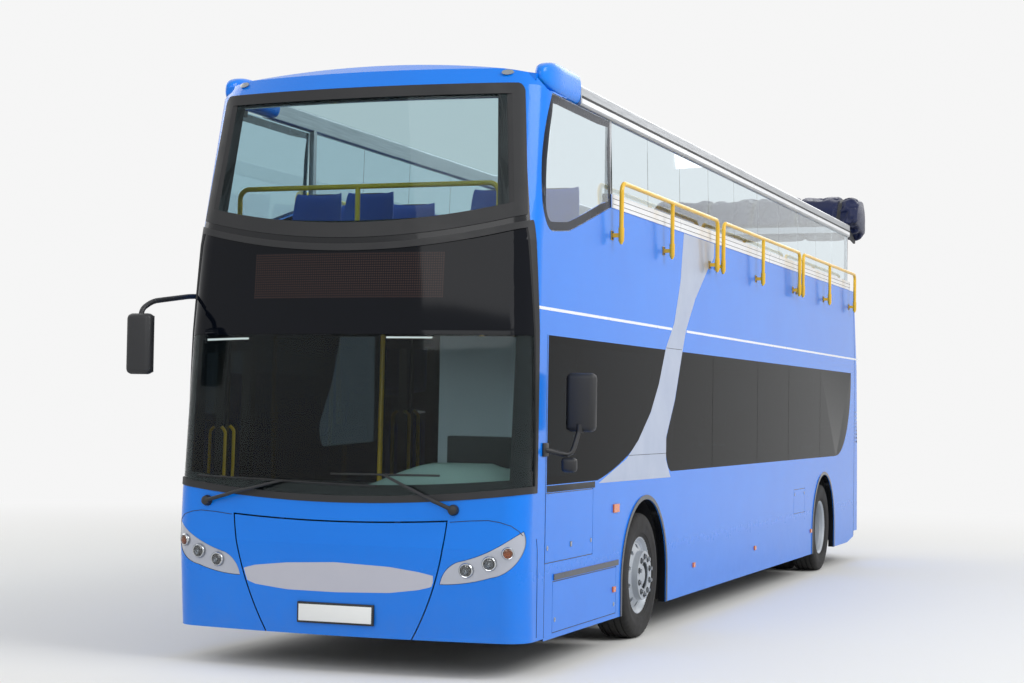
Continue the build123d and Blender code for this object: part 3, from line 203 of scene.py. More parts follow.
def addLayers(bm, tops, lows, material=0, loop=False):
    # a thin closed solid between two grids of points; with loop, the last row joins the first
    layers = [[[bm.verts.new(p) for p in row] for row in grid] for grid in (tops, lows)]
    top, low = layers
    rows, columns = len(top), len(top[0])
    for i in range(rows if loop else rows - 1):
        k = (i + 1) % rows
        for j in range(columns - 1):
            for layer in layers:
                corners = (layer[i][j], layer[i][j + 1], layer[k][j + 1], layer[k][j])
                bm.faces.new(corners).material_index = material
        for j in (0, columns - 1):
            bm.faces.new((top[i][j], top[k][j], low[k][j], low[i][j])).material_index = material
    for j in range(0 if loop else columns - 1):
        for i in (0, rows - 1):
            bm.faces.new((top[i][j], top[i][j + 1], low[i][j + 1], low[i][j])).material_index = material


def addSheetSolid(bm, grid, shift):
    # a grid of points made into a thin closed solid, thickened by shift
    addLayers(bm, grid, [[point + Vector(shift) for point in row] for row in grid])


def nodeTree(*names):
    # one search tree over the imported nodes, for pieces that lie on them
    points, faces = [], []
    for name in names:
        mesh = nodes[name].data
        base = len(points)
        points += [vertex.co.copy() for vertex in mesh.vertices]
        faces += [[base + index for index in face.vertices] for face in mesh.polygons]
    return BVHTree.FromPolygons(points, faces)


def hitFront(tree, x, z):
    # the nose's surface at X, Z, seen from the front
    place, normal, _, _ = tree.ray_cast(Vector((x, ahead, z)), yAxis)
    return place, normal


def hitRear(tree, x, z):
    place, normal, _, _ = tree.ray_cast(Vector((x, behind, z)), -yAxis)
    return place, normal


def localFrame(normal):
    across = zAxis.cross(normal).normalized()
    return across, normal.cross(across).normalized()


def addDome(bm, centre, normal, profile, material, steps=40, size=1.0):
    # profile is (radius, height above the surface), its radii times size; its ends may lie on the axis
    across, upward = localFrame(normal)
    rings = []
    for radius, height in profile:
        base = centre + normal * height
        if radius:
            rings.append(addRing(bm, base, across, upward, radius * size, steps))
        else:
            rings.append([bm.verts.new(base)])
    for low, high in zip(rings, rings[1:]):
        for k in range(steps):
            j = (k + 1) % steps
            corners = [low[k % len(low)], low[j % len(low)], high[j % len(high)], high[k % len(high)]]
            corners = list(dict.fromkeys(corners))
            if len(corners) > 2:
                bm.faces.new(corners).material_index = material


# Materials, each named for the real one. Pattern sizes are in mm and bump depths in metres
paintSettings = {
    # the inside colour is near-black painted shade, for faces that look inwards and for the zone behind the front
    # screens
    "blue": "#087fee", "blueShade": "#0675e2", "dust": "#8b93a0", "inside": "#14161a", "lip": "#3a3f47",
    # Z up to which the dust is full and from which there is none, and its share where it is full
    "dustHeights": (0.25, 0.85), "dustShare": 0.14,
    # how far a face may look outwards and still count as inside, in the painted shade, and how deep in or proud of the
    # skin a mask starts
    "facingLimit": 0.12, "insideDepth": 0.0025, "proudDepth": -0.003,
}
# the near-black painted shade behind the two front screens: Z of its foot and head at the middle and how far each rises
# towards the sides, Y of its rear edge at its foot and head, the Z where that edge starts to lean, and the bow's half
# width
screenShadeZone = {"foot": 1.137, "footRise": 0.088, "head": 3.875, "headRise": 0.012, "edgeFoot": -5.690,
              "edgeHead": -5.573, "leanFrom": 2.89, "bowHalf": 1.3}


def insideMask(tree, place, split, centre):
    # 1 on faces that look inwards, which get near-black painted shade; on the flat sides also a second mask, 1 on lips
    # that stand proud of the skin
    if centre:
        away = addNode(tree, "ShaderNodeVectorMath", {"operation": "SUBTRACT", 1: centre}, {0: place.outputs["Object"]})
        away = addNode(tree, "ShaderNodeVectorMath", {"operation": "NORMALIZE"}, {0: away.outputs[0]})
        facing = addNode(tree, "ShaderNodeVectorMath", {"operation": "DOT_PRODUCT"},
                         {0: away.outputs[0], 1: place.outputs["Normal"]})
        inside = addNode(tree, "ShaderNodeMath", {"operation": "LESS_THAN", 1: paintSettings["facingLimit"]},
                         {0: facing.outputs["Value"]})
        return inside.outputs[0], None
    reach = addNode(tree, "ShaderNodeMath", {"operation": "ABSOLUTE"}, {0: split.outputs["X"]})
    above = addNode(tree, "ShaderNodeMath", {"operation": "SUBTRACT", 1: bodyShape["waist"]}, {0: split.outputs["Z"]})
    above = addNode(tree, "ShaderNodeMath", {"operation": "MAXIMUM", 1: 0.0}, {0: above.outputs[0]})
    half = addNode(tree, "ShaderNodeMath", {"operation": "MULTIPLY_ADD", 1: -bodyShape["lean"], 2: bodyShape["half"]},
                   {0: above.outputs[0]})
    depth = addNode(tree, "ShaderNodeMath", {"operation": "SUBTRACT"}, {0: half.outputs[0], 1: reach.outputs[0]})
    inside = addNode(tree, "ShaderNodeMath", {"operation": "GREATER_THAN", 1: paintSettings["insideDepth"]},
                     {0: depth.outputs[0]})
    proud = addNode(tree, "ShaderNodeMath", {"operation": "LESS_THAN", 1: paintSettings["proudDepth"]},
                    {0: depth.outputs[0]})
    return inside.outputs[0], proud.outputs[0]


def recessMask(tree, split):
    # 1 in the field of painted shade behind the two front screens, whose edges bow with X; a step works on earlier ones
    # or on numbers
    zone = screenShadeZone
    slope = (zone["edgeHead"] - zone["edgeFoot"]) / (zone["head"] - zone["leanFrom"])
    made = {axis: split.outputs[axis] for axis in "XYZ"}
    for name, operation, first, second in (
        ("reach", "ABSOLUTE", "X", 0.0),
        ("share", "DIVIDE", "reach", zone["bowHalf"]),
        ("bow", "POWER", "share", 2.0),
        ("footLift", "MULTIPLY", "bow", zone["footRise"]),
        ("foot", "ADD", "footLift", zone["foot"]),
        ("over", "GREATER_THAN", "Z", "foot"),
        ("headLift", "MULTIPLY", "bow", zone["headRise"]),
        ("head", "ADD", "headLift", zone["head"]),
        ("under", "LESS_THAN", "Z", "head"),
        ("above", "SUBTRACT", "Z", zone["leanFrom"]),
        ("lean", "MAXIMUM", "above", 0.0),
        ("leanBack", "MULTIPLY", "lean", slope),
        ("edge", "ADD", "leanBack", zone["edgeFoot"]),
        ("front", "LESS_THAN", "Y", "edge"),
        ("between", "MULTIPLY", "over", "under"),
        ("recess", "MULTIPLY", "between", "front"),
    ):
        numbers = {index: value for index, value in enumerate((first, second)) if isinstance(value, float)}
        sockets = {index: made[value] for index, value in enumerate((first, second)) if isinstance(value, str)}
        made[name] = addNode(tree, "ShaderNodeMath", {"operation": operation, **numbers}, sockets).outputs[0]
    return made["recess"]


def blueEnamel(name, centre=None, screens=False):
    # two-pack enamel, sprayed and lacquered: deep gloss, slow waves in the panels, dust low down, and near-black
    # painted shade on faces that look inwards
    material, tree, shader = newMaterial(name, {
        "Roughness": 0.25, "IOR": 1.3, "Coat Weight": 0.25, "Coat Roughness": 0.03, "Coat IOR": 1.5,
    })
    paint = paintSettings
    place = addNode(tree, "ShaderNodeTexCoord")
    here = place.outputs["Object"]
    split = addNode(tree, "ShaderNodeSeparateXYZ", links={0: here})
    mottle = addNode(tree, "ShaderNodeTexNoise", {"Scale": perMetre(588.2), "Detail": 3.0}, {"Vector": here})
    tone = addNode(tree, "ShaderNodeMix", {
        "data_type": "RGBA", 6: hexLinear(paint["blue"]), 7: hexLinear(paint["blueShade"]),
    }, {0: mottle.outputs[0]})
    full, none = paint["dustHeights"]
    low = addNode(tree, "ShaderNodeMapRange", {1: full, 2: none, 3: paint["dustShare"], 4: 0.0},
                  {0: split.outputs["Z"]})
    grit = addNode(tree, "ShaderNodeTexNoise", {"Scale": perMetre(111.1), "Detail": 6.0, "Roughness": 0.65},
                   {"Vector": here})
    dirt = addNode(tree, "ShaderNodeMath", {"operation": "MULTIPLY"}, {0: low.outputs[0], 1: grit.outputs[0]})
    dusty = addNode(tree, "ShaderNodeMix", {"data_type": "RGBA", 7: hexLinear(paint["dust"])},
                    {0: dirt.outputs[0], 6: tone.outputs[2]})
    # painted shade: faces that look inwards are coloured near black
    inside, proud = insideMask(tree, place, split, centre)
    # with screens, the zone behind the two front screens also gets the near-black painted shade
    if screens:
        recess = recessMask(tree, split)
        inside = addNode(tree, "ShaderNodeMath", {"operation": "MAXIMUM"}, {0: inside, 1: recess}).outputs[0]
    withInsideShade = addNode(tree, "ShaderNodeMix", {"data_type": "RGBA", 7: hexLinear(paint["inside"])},
                    {0: inside, 6: dusty.outputs[2]})
    if proud:
        withInsideShade = addNode(tree, "ShaderNodeMix", {"data_type": "RGBA", 7: hexLinear(paint["lip"])},
                        {0: proud, 6: withInsideShade.outputs[2]})
    tree.links.new(withInsideShade.outputs[2], shader.inputs["Base Color"])
    gloss = addNode(tree, "ShaderNodeMapRange", {1: 0.0, 2: 0.2, 3: 0.25, 4: 0.5}, {0: dirt.outputs[0]})
    tree.links.new(gloss.outputs[0], shader.inputs["Roughness"])
    # panel waves, a few tenths of a millimetre deep
    wave = addNode(tree, "ShaderNodeTexNoise", {"Scale": perMetre(454.5), "Detail": 1.0}, {"Vector": here})
    bump = addNode(tree, "ShaderNodeBump", {"Strength": 0.22, "Distance": 0.005}, {"Height": wave.outputs[0]})
    for normal in ("Normal", "Coat Normal"):
        tree.links.new(bump.outputs[0], shader.inputs[normal])
    return material


def sprayed(name, colour, shade, settings, grain=7.143, depth=0.0004, mottle=333.3):
    # one sprayed or moulded finish: two close tones, uneven gloss and a fine grain
    material, tree, shader = newMaterial(name, {"Roughness": 0.4, **settings})
    here = addNode(tree, "ShaderNodeTexCoord").outputs["Object"]
    patch = addNode(tree, "ShaderNodeTexNoise", {"Scale": perMetre(mottle), "Detail": 5.0, "Roughness": 0.6},
                    {"Vector": here})
    tone = addNode(tree, "ShaderNodeMix", {"data_type": "RGBA", 6: hexLinear(colour), 7: hexLinear(shade)},
                   {0: patch.outputs[0]})
    tree.links.new(tone.outputs[2], shader.inputs["Base Color"])
    base = shader.inputs["Roughness"].default_value
    gloss = addNode(tree, "ShaderNodeMapRange", {1: 0.3, 2: 0.7, 3: base * 0.85, 4: min(1.0, base * 1.2)},
                    {0: patch.outputs[0]})
    tree.links.new(gloss.outputs[0], shader.inputs["Roughness"])
    fine = addNode(tree, "ShaderNodeTexNoise", {"Scale": perMetre(grain), "Detail": 2.0}, {"Vector": here})
    bump = addNode(tree, "ShaderNodeBump", {"Strength": 0.35, "Distance": depth}, {"Height": fine.outputs[0]})
    tree.links.new(bump.outputs[0], shader.inputs["Normal"])
    return material


def metalFlake(name, colour, shade):
    # lacquer with fine metal flakes: it brightens where it faces the light
    return sprayed(name, colour, shade, {"Roughness": 0.34, "Metallic": 0.55, "Coat Weight": 0.5}, 3.333, 0.0002)


def glassSheet(name, tint, roughness=0.0, ior=1.5, gloss=0.5, reflection="#ffffff"):
    # clear or tinted sheet: it lets lamps through, so that what stands behind it is lit
    material, tree, shader = newMaterial(name, {
        "Base Color": hexLinear(tint), "Roughness": roughness, "IOR": ior, "Transmission Weight": 1.0,
        "Specular IOR Level": gloss, "Specular Tint": hexLinear(reflection),
    })
    output = next(n for n in tree.nodes if n.type == "OUTPUT_MATERIAL")
    path = addNode(tree, "ShaderNodeLightPath")
    lampWay = addNode(tree, "ShaderNodeBsdfTransparent", {"Color": hexLinear(tint)})
    mix = addNode(tree, "ShaderNodeMixShader", links={
        0: path.outputs["Is Shadow Ray"], 1: shader.outputs[0], 2: lampWay.outputs[0],
    })
    tree.links.new(mix.outputs[0], output.inputs["Surface"])
    return material


def drawnMetal(name, colour, roughness, lines):
    # bare or plated metal: streaks of tone and gloss, of the size that lines gives along X, Y and Z
    material, tree, shader = newMaterial(name, {"Metallic": 1.0, "Roughness": roughness})
    here = addNode(tree, "ShaderNodeTexCoord").outputs["Object"]
    stretch = addNode(tree, "ShaderNodeMapping", {"Scale": [perMetre(size) for size in lines]}, {"Vector": here})
    streak = addNode(tree, "ShaderNodeTexNoise", {"Scale": 1.0, "Detail": 4.0}, {"Vector": stretch.outputs[0]})
    tone = addNode(tree, "ShaderNodeMix", {"data_type": "RGBA", 6: hexLinear(colour), 7: hexLinear("#8f9398")},
                   {0: streak.outputs[0]})
    tree.links.new(tone.outputs[2], shader.inputs["Base Color"])
    gloss = addNode(tree, "ShaderNodeMapRange", {3: roughness * 0.7, 4: roughness * 1.4}, {0: streak.outputs[0]})
    tree.links.new(gloss.outputs[0], shader.inputs["Roughness"])
    return material


def coatedFabric():
    # polyester weave with a soft coating: dark, dull and patchy from folding; its threads show only close up
    material, tree, shader = newMaterial("coatedPolyesterFabric", {
        "Roughness": 0.4, "Sheen Weight": 0.02, "Sheen Roughness": 0.4, "Specular IOR Level": 0.25,
    })
    here = addNode(tree, "ShaderNodeTexCoord").outputs["Object"]
    # a wave of scale 1 repeats every pi / 10 m
    threads = perMetre(2.513) * math.pi / 10
    warp, weft = [addNode(tree, "ShaderNodeTexWave", {"Scale": threads, "bands_direction": axis}, {"Vector": here})
                  for axis in "XZ"]
    weave = addNode(tree, "ShaderNodeMath", {"operation": "ADD"}, {0: warp.outputs[1], 1: weft.outputs[1]})
    patch = addNode(tree, "ShaderNodeTexNoise", {"Scale": perMetre(200), "Detail": 5.0}, {"Vector": here})
    tone = addNode(tree, "ShaderNodeMix", {"data_type": "RGBA", 6: hexLinear("#0a1230"), 7: hexLinear("#14224f")},
                   {0: patch.outputs[0]})
    tree.links.new(tone.outputs[2], shader.inputs["Base Color"])
    bump = addNode(tree, "ShaderNodeBump", {"Strength": 0.3, "Distance": 0.0008}, {"Height": weave.outputs[0]})
    tree.links.new(bump.outputs[0], shader.inputs["Normal"])
    return material


def markerLens():
    # moulded polycarbonate, glossy and ribbed: amber along the sides, smoked clear above 2 m
    material, tree, shader = newMaterial("mouldedMarkerLens", {
        "Roughness": 0.15, "IOR": 1.58, "Coat Weight": 0.5, "Coat Roughness": 0.03,
    })
    here = addNode(tree, "ShaderNodeTexCoord").outputs["Object"]
    split = addNode(tree, "ShaderNodeSeparateXYZ", links={0: here})
    high = addNode(tree, "ShaderNodeMath", {"operation": "GREATER_THAN", 1: 2.0}, {0: split.outputs["Z"]})
    ribs = addNode(tree, "ShaderNodeTexWave", {"Scale": perMetre(5.236) * math.pi / 10, "bands_direction": "Z"},
                   {"Vector": here})
    amber, smoked = [
        addNode(tree, "ShaderNodeMix", {"data_type": "RGBA", 6: hexLinear(colour), 7: hexLinear(shade)},
                {0: ribs.outputs[1]})
        for colour, shade in (("#e8741c", "#d05f10"), ("#8f969c", "#70777d"))
    ]
    tone = addNode(tree, "ShaderNodeMix", {"data_type": "RGBA"},
                   {0: high.outputs[0], 6: amber.outputs[2], 7: smoked.outputs[2]})
    tree.links.new(tone.outputs[2], shader.inputs["Base Color"])
    return material


def moquette():
    # woven wool pile: short bright and dark loops, with a soft sheen
    material, tree, shader = newMaterial("wovenMoquette", {
        "Roughness": 0.9, "Sheen Weight": 0.4, "Sheen Roughness": 0.5, "Specular IOR Level": 0.2,
    })
    here = addNode(tree, "ShaderNodeTexCoord").outputs["Object"]
    loops = addNode(tree, "ShaderNodeTexVoronoi", {"Scale": perMetre(3.125)}, {"Vector": here})
    patch = addNode(tree, "ShaderNodeTexNoise", {"Scale": perMetre(33.33), "Detail": 3.0}, {"Vector": here})
    speckle = addNode(tree, "ShaderNodeMath", {"operation": "MULTIPLY"}, {0: loops.outputs[0], 1: patch.outputs[0]})
    tone = addNode(tree, "ShaderNodeMix", {"data_type": "RGBA", 6: hexLinear("#182a5c"), 7: hexLinear("#3f62b4")},
                   {0: speckle.outputs[0]})
    tree.links.new(tone.outputs[2], shader.inputs["Base Color"])
    bump = addNode(tree, "ShaderNodeBump", {"Strength": 0.5, "Distance": 0.001}, {"Height": loops.outputs[0]})
    tree.links.new(bump.outputs[0], shader.inputs["Normal"])
    return material


# Grain that is under a millimetre on the real surface is drawn a few millimetres across, so that it shows from here
mats = {
    "blue": blueEnamel("clearCoatedBlueEnamel", (0, 0, 2.2)),
    "blueSide": blueEnamel("clearCoatedBlueEnamelOnSides"),
    # on the hoop, the zone behind the two front screens also gets the near-black painted shade
    "blueHoop": blueEnamel("clearCoatedBlueEnamelOnHoop", (0, -4.5, 2.9), True),
    "blueNose": blueEnamel("clearCoatedBlueEnamelOnNose", (0, -4.6, 0.8)),
    # the same enamel on small smooth mouldings: clean, with no panel waves
    "bluePods": sprayed("clearCoatedBlueEnamelOnPods", "#0a84f0", "#087ae6",
                        {"Roughness": 0.25, "IOR": 1.3, "Coat Weight": 0.25, "Coat Roughness": 0.03}, 500, 0.0001),
    # lacquers with flakes: paler where they face the light
    "silver": metalFlake("silverFlakeLacquer", "#b9bdc8", "#a9aebb"),
    "silverBand": metalFlake("silverBaseCoatLacquer", "#c0c1cc", "#b4b6c3"),
    # the film's blue cast is painted sky reflection on a silver film
    "silverFilm": metalFlake("castVinylFilmSilver", "#aebcd6", "#a3b1cd"),
    # smooth enamel and cast film: bright, with a soft even gloss
    "white": sprayed("whiteEnamel", "#f0f1f3", "#e2e5ea", {"Roughness": 0.3, "Coat Weight": 0.4}),
    "whiteFilm": sprayed("castVinylFilmWhite", "#eef2f8", "#e4eaf4", {"Roughness": 0.3, "Coat Weight": 0.3}, 5, 0.0001),
    # glass beads under film: flat white with a faint sparkle of grain
    "plate": sprayed("reflectiveSheetingWhite", "#eef0ee", "#e4e6e6", {"Roughness": 0.35}, 2.5, 0.0001),
    # baked powder coat: warm yellow with an orange-peel skin
    "yellow": sprayed("yellowPowderCoat", "#efbf22", "#e0ab12", {"Roughness": 0.35, "Coat Weight": 0.3}, 11.11, 0.0005),
    # extruded rubber: dull black that swallows highlights
    "gasket": sprayed("bondedBlackRubber", "#101114", "#191b1f", {"Roughness": 0.55}, 4.545, 0.0004),
    # near-black gloss for the door glass, partly its tint and partly painted shade of the saloon behind it, with sharp
    # reflections
    "blackGloss": sprayed("darkDoorGlassPaintedShade", "#0a0c10", "#0e1116",
                          {"Roughness": 0.08, "Coat Weight": 1.0, "Coat Roughness": 0.02}, 125, 0.0002),
    # black ceramic print seen from close to the edge: softer, and a little bluer, which is painted reflection
    "borderPrint": sprayed("blackCeramicPrint", "#141a26", "#1b2230", {"Roughness": 0.25, "IOR": 1.2}, 125, 0.0001),
    # injection-moulded ABS with a leather-like grain: broad, soft highlights
    "blackPlastic": sprayed("grainedBlackABS", "#17181b", "#202226", {"Roughness": 0.5}, 6.25, 0.0006),
    "greyPlastic": sprayed("grainedGreyABS", "#828c90", "#757f84", {"Roughness": 0.55}, 6.25, 0.0006),
    "palePlastic": sprayed("grainedPaleABS", "#9fb3ae", "#93a7a3", {"Roughness": 0.5}, 6.25, 0.0006),
    # tinted float glass: dark, with a cool cast in what it mirrors
    "tinted": glassSheet("tintedSafetyGlass", "#2b343a", ior=1.08, gloss=0.4, reflection="#a9c4e8"),
    # laminated screens: clear with a green-grey edge tint, the lower one paler
    "clear": glassSheet("clearLaminatedGlass", "#a9c3c9", ior=1.2),
    "clearLow": glassSheet("clearLaminatedWindscreen", "#d6e4e4", ior=1.2),
    # cast sheet: clear with a trace of blue and a softer mirror than glass
    "acrylic": glassSheet("castAcrylicSheet", "#dcebf2", 0.01, 1.49),
    "lampCover": glassSheet("clearPolycarbonate", "#f2f6f8", 0.0, 1.58),
    "amberCover": glassSheet("amberPolycarbonate", "#efc79a", 0.02, 1.58),
    # extrusion, anodised: satin grey with faint die lines along its length
    "aluminium": drawnMetal("anodisedAluminium", "#c3c6ca", 0.32, (8.333, 312.5, 8.333)),
    # chrome plate: a sharp bright mirror
    "chrome": drawnMetal("brightChromePlate", "#d9dcdf", 0.08, (125, 125, 125)),
    # zinc plate: dull silver with spangles
    "zinc": drawnMetal("zincPlatedSteel", "#a9adb3", 0.3, (12.5, 12.5, 12.5)),
    # silver behind glass: it shows only what it mirrors
    "mirror": drawnMetal("silveredMirrorGlass", "#dfe3e6", 0.02, (250, 250, 250)),
    # aluminium vapour on moulded bowls: dark between highlights, tinted where the bulb is amber
    "reflector": sprayed("vacuumMetalledReflector", "#565c66", "#6a707a", {"Roughness": 0.18, "Metallic": 0.9},
                         16.67, 0.0006),
    "amberBowl": sprayed("amberReflectorBowl", "#a8763a", "#8f5f2a", {"Roughness": 0.25, "Metallic": 0.4},
                         16.67, 0.0006),
    # vulcanised rubber: matt charcoal with brown-grey bloom
    "tyre": sprayed("tyreRubber", "#1b1b1d", "#2b2a29", {"Roughness": 0.85}, 6.25, 0.001, 142.9),
    # sprayed steel discs: satin silver with a haze of dust
    "wheel": sprayed("silverWheelEnamel", "#b9bfc6", "#a6acb3", {"Roughness": 0.38, "Metallic": 0.35}, 16.67, 0.0004),
    "roof": coatedFabric(),
    "moquette": moquette(),
    # nylon webbing: matt black ribs that catch a little light along their edges
    "webbing": sprayed("wovenNylonWebbing", "#16181d", "#20232a", {"Roughness": 0.7, "Sheen Weight": 0.3}, 2.5, 0.0008),
    # rotation-moulded shells: plain saturated blue, slightly waxy
    "shell": sprayed("mouldedPolypropylene", "#1f4fae", "#1a4497", {"Roughness": 0.45}, 8.333, 0.0005),
    # rolled vinyl: worn grey with raised studs
    "floor": sprayed("studdedVinylFloor", "#5f646b", "#4c5157", {"Roughness": 0.7}, 16.67, 0.001, 83.33),
    # hand-laid glass fibre: pale and smooth, with a trace of the mat
    "laminate": sprayed("greyGlassFibreLaminate", "#aeb4bb", "#9ea5ad", {"Roughness": 0.45}, 12.5, 0.0004),
    # sand casting, brushed with black paint: rough skin and dull sheen
    "iron": sprayed("blackPaintedCasting", "#1a1b1d", "#2a2a2b", {"Roughness": 0.65}, 16.67, 0.0015, 111.1),
    # welded steel, dip coated: even black, rough from grit
    "steel": sprayed("chassisBlackSteel", "#202124", "#2c2d30", {"Roughness": 0.6}, 14.29, 0.001, 125),
    # coloured acrylic lenses: saturated and glossy
    "amber": sprayed("amberLens", "#e5781e", "#d9660f", {"Roughness": 0.15, "Coat Weight": 0.6}, 5, 0.0004),
    "red": sprayed("redLens", "#b3160f", "#9c100a", {"Roughness": 0.15, "Coat Weight": 0.6}, 5, 0.0004),
    "marker": markerLens(),
}
nodesIn = {
    "blue": ["rear_wall", "engine_lid", "roof_pods"],
    "blueSide": ["side_wall_left", "side_wall_right", "front_door_leaf_a", "front_door_leaf_b", "middle_door_leaf_a",
                 "middle_door_leaf_b"],
    "blueHoop": ["front_hoop"],
    "blueNose": ["front_mask", "front_flap"],
    "silver": ["head_lamps"],
    "white": ["lower_rails"],
    "yellow": ["guard_rails", "grab_rails"],
    "tinted": ["saloon_glass", "rear_glass"],
    "clear": ["windscreen_lower", "windscreen_upper"],
    "acrylic": ["deck_panes"],
    "aluminium": ["top_rails"],
    "gasket": ["screen_surrounds", "air_springs"],
    "blackPlastic": ["wheel_boxes", "driver_seat", "steering_wheel", "sign_box", "mirrors", "wipers"],
    "greyPlastic": ["dashboard"],
    "laminate": ["cab_partition", "staircase"],
    "floor": ["lower_floor", "upper_floor"],
    "shell": ["upper_seats", "lower_seats"],
    "roof": ["folded_roof"],
    "steel": ["chassis_frame", "roof_bows"],
    "iron": ["front_axle", "knuckle_left", "knuckle_right", "rear_axle", "engine_block"],
    "tyre": ["front_tyre_left", "front_tyre_right", "rear_tyres_left", "rear_tyres_right"],
    "wheel": ["front_rim_left", "front_rim_right", "rear_rims_left", "rear_rims_right"],
    "marker": ["marker_lamps"],
    "red": ["rear_lamps"],
}
for key, names in nodesIn.items():
    for name in names:
        mesh = nodes[name].data
        mesh.materials.clear()
        mesh.materials.append(mats[key])
print("materials made:", len(mats))


# Livery films on both sides: the thin white line and the silver diagonal
liverySettings = {
    # Z of the line's edges, and where it starts, makes way for the diagonal, goes on and ends
    "lineFoot": 2.400, "lineHead": 2.420, "lineRuns": [(-5.66, -2.45), (-2.0, 6.03)],
    "lift": 0.0006, "lineLift": 0.0009, "root": 0.0001,
    # (Y, Z) of the diagonal's two edges above the waist line, from its foot up
    "frontEdge": [(-2.640, 2.250), (-2.38, 2.46), (-2.17, 2.81), (-2.04, 3.225)],
    "rearEdge": [(-2.135, 2.250), (-2.02, 2.42), (-1.70, 2.70), (-1.30, 2.96), (-1.05, 3.10), (-1.02, 3.225)],
    # and below it, between the two side glasses
    "frontEdgeLow": [(-4.36, 1.225), (-3.68, 1.385), (-3.38, 1.52), (-3.05, 1.735), (-2.83, 1.96), (-2.640, 2.250)],
    "rearEdgeLow": [(-2.46, 1.215), (-2.60, 1.36), (-2.60, 1.54), (-2.36, 1.835), (-2.135, 2.250)],
}


def addFilm(bm, outline, side, lift, material=0):
    # a flat film on the body's side, drawn as (Y, Z) points, a few tenths of a millimetre thick
    skins = [[(side * (halfWidth(z) + rise), y, z) for y, z in outline] for rise in (lift, liverySettings["root"])]
    addPrism(bm, *skins, material)


def makeLivery():
    bm = bmesh.new()
    settings = liverySettings
    low, high = settings["lineFoot"], settings["lineHead"]
    for side in (1, -1):
        addFilm(bm, settings["frontEdge"] + settings["rearEdge"][::-1], side, settings["lift"], 1)
        if side > 0:
            addFilm(bm, settings["frontEdgeLow"] + settings["rearEdgeLow"][::-1], side, settings["lift"], 1)
        for start, end in settings["lineRuns"]:
            addFilm(bm, [(start, low), (end, low), (end, high), (start, high)], side, settings["lineLift"])
    finishMesh("liveryFilms", bm, [mats["whiteFilm"], mats["silverFilm"]])


makeLivery()

# Lower screen: clear glass below, black printed glass above with a blank sign window
screenSettings = {
    "boundary": 2.222, "slit": 0.0005,
    # (X, Z) of the sign window's corners, its dots' pitch, and the wave's values at a dot's edge and core
    "signLow": (-0.72, 2.465), "signHigh": (0.67, 2.77), "dotPitch": 0.016, "dotRange": (0.45, 0.7),
}


def printedGlass():
    # black ceramic print behind the glass: deep gloss, and a browner field of unlit sign dots
    material, tree, shader = newMaterial("ceramicPrintedGlass", {"Roughness": 0.05, "IOR": 1.25})
    here = addNode(tree, "ShaderNodeTexCoord").outputs["Object"]
    split = addNode(tree, "ShaderNodeSeparateXYZ", links={0: here})
    masks, waves = [], []
    for axis, low, high in zip("XZ", screenSettings["signLow"], screenSettings["signHigh"]):
        over = addNode(tree, "ShaderNodeMath", {"operation": "GREATER_THAN", 1: low}, {0: split.outputs[axis]})
        under = addNode(tree, "ShaderNodeMath", {"operation": "LESS_THAN", 1: high}, {0: split.outputs[axis]})
        masks.append(addNode(tree, "ShaderNodeMath", {"operation": "MULTIPLY"},
                             {0: over.outputs[0], 1: under.outputs[0]}))
        turn = addNode(tree, "ShaderNodeMath", {"operation": "MULTIPLY", 1: math.pi / screenSettings["dotPitch"]},
                       {0: split.outputs[axis]})
        wave = addNode(tree, "ShaderNodeMath", {"operation": "SINE"}, {0: turn.outputs[0]})
        waves.append(addNode(tree, "ShaderNodeMath", {"operation": "ABSOLUTE"}, {0: wave.outputs[0]}))
    window, dot = [
        addNode(tree, "ShaderNodeMath", {"operation": "MULTIPLY"}, {0: pair[0].outputs[0], 1: pair[1].outputs[0]})
        for pair in (masks, waves)
    ]
    edge, core = screenSettings["dotRange"]
    dot = addNode(tree, "ShaderNodeMapRange", {1: edge, 2: core}, {0: dot.outputs[0]})
    field = addNode(tree, "ShaderNodeMix", {"data_type": "RGBA", 6: hexLinear("#15151b"), 7: hexLinear("#3b2a26")},
                    {0: dot.outputs[0]})
    patch = addNode(tree, "ShaderNodeTexNoise", {"Scale": perMetre(333.3), "Detail": 2.0}, {"Vector": here})
    ink = addNode(tree, "ShaderNodeMix", {"data_type": "RGBA", 6: hexLinear("#05080f"), 7: hexLinear("#080c15")},
                  {0: patch.outputs[0]})
    tone = addNode(tree, "ShaderNodeMix", {"data_type": "RGBA"},
                   {0: window.outputs[0], 6: ink.outputs[2], 7: field.outputs[2]})
    tree.links.new(tone.outputs[2], shader.inputs["Base Color"])
    return material


def cutScreen(name, height, keepAbove, material):
    bm = bmesh.new()
    bm.from_mesh(nodes["windscreen_lower"].data)
    cut = bmesh.ops.bisect_plane(
        bm, geom=bm.verts[:] + bm.edges[:] + bm.faces[:], plane_co=(0, 0, height), plane_no=zAxis,
        clear_inner=keepAbove, clear_outer=not keepAbove,
    )
    edges = [item for item in cut["geom_cut"] if isinstance(item, bmesh.types.BMEdge)]
    bmesh.ops.edgeloop_fill(bm, edges=edges)
    pane = finishMesh(name, bm, material, smooth=30)
    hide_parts("windscreen_lower")


mats["printed"] = printedGlass()
cutScreen("lowerScreenGlass", screenSettings["boundary"], False, mats["clearLow"])
cutScreen("lowerScreenSignGlass", screenSettings["boundary"] + screenSettings["slit"], True, mats["printed"])
print("screens and livery made")

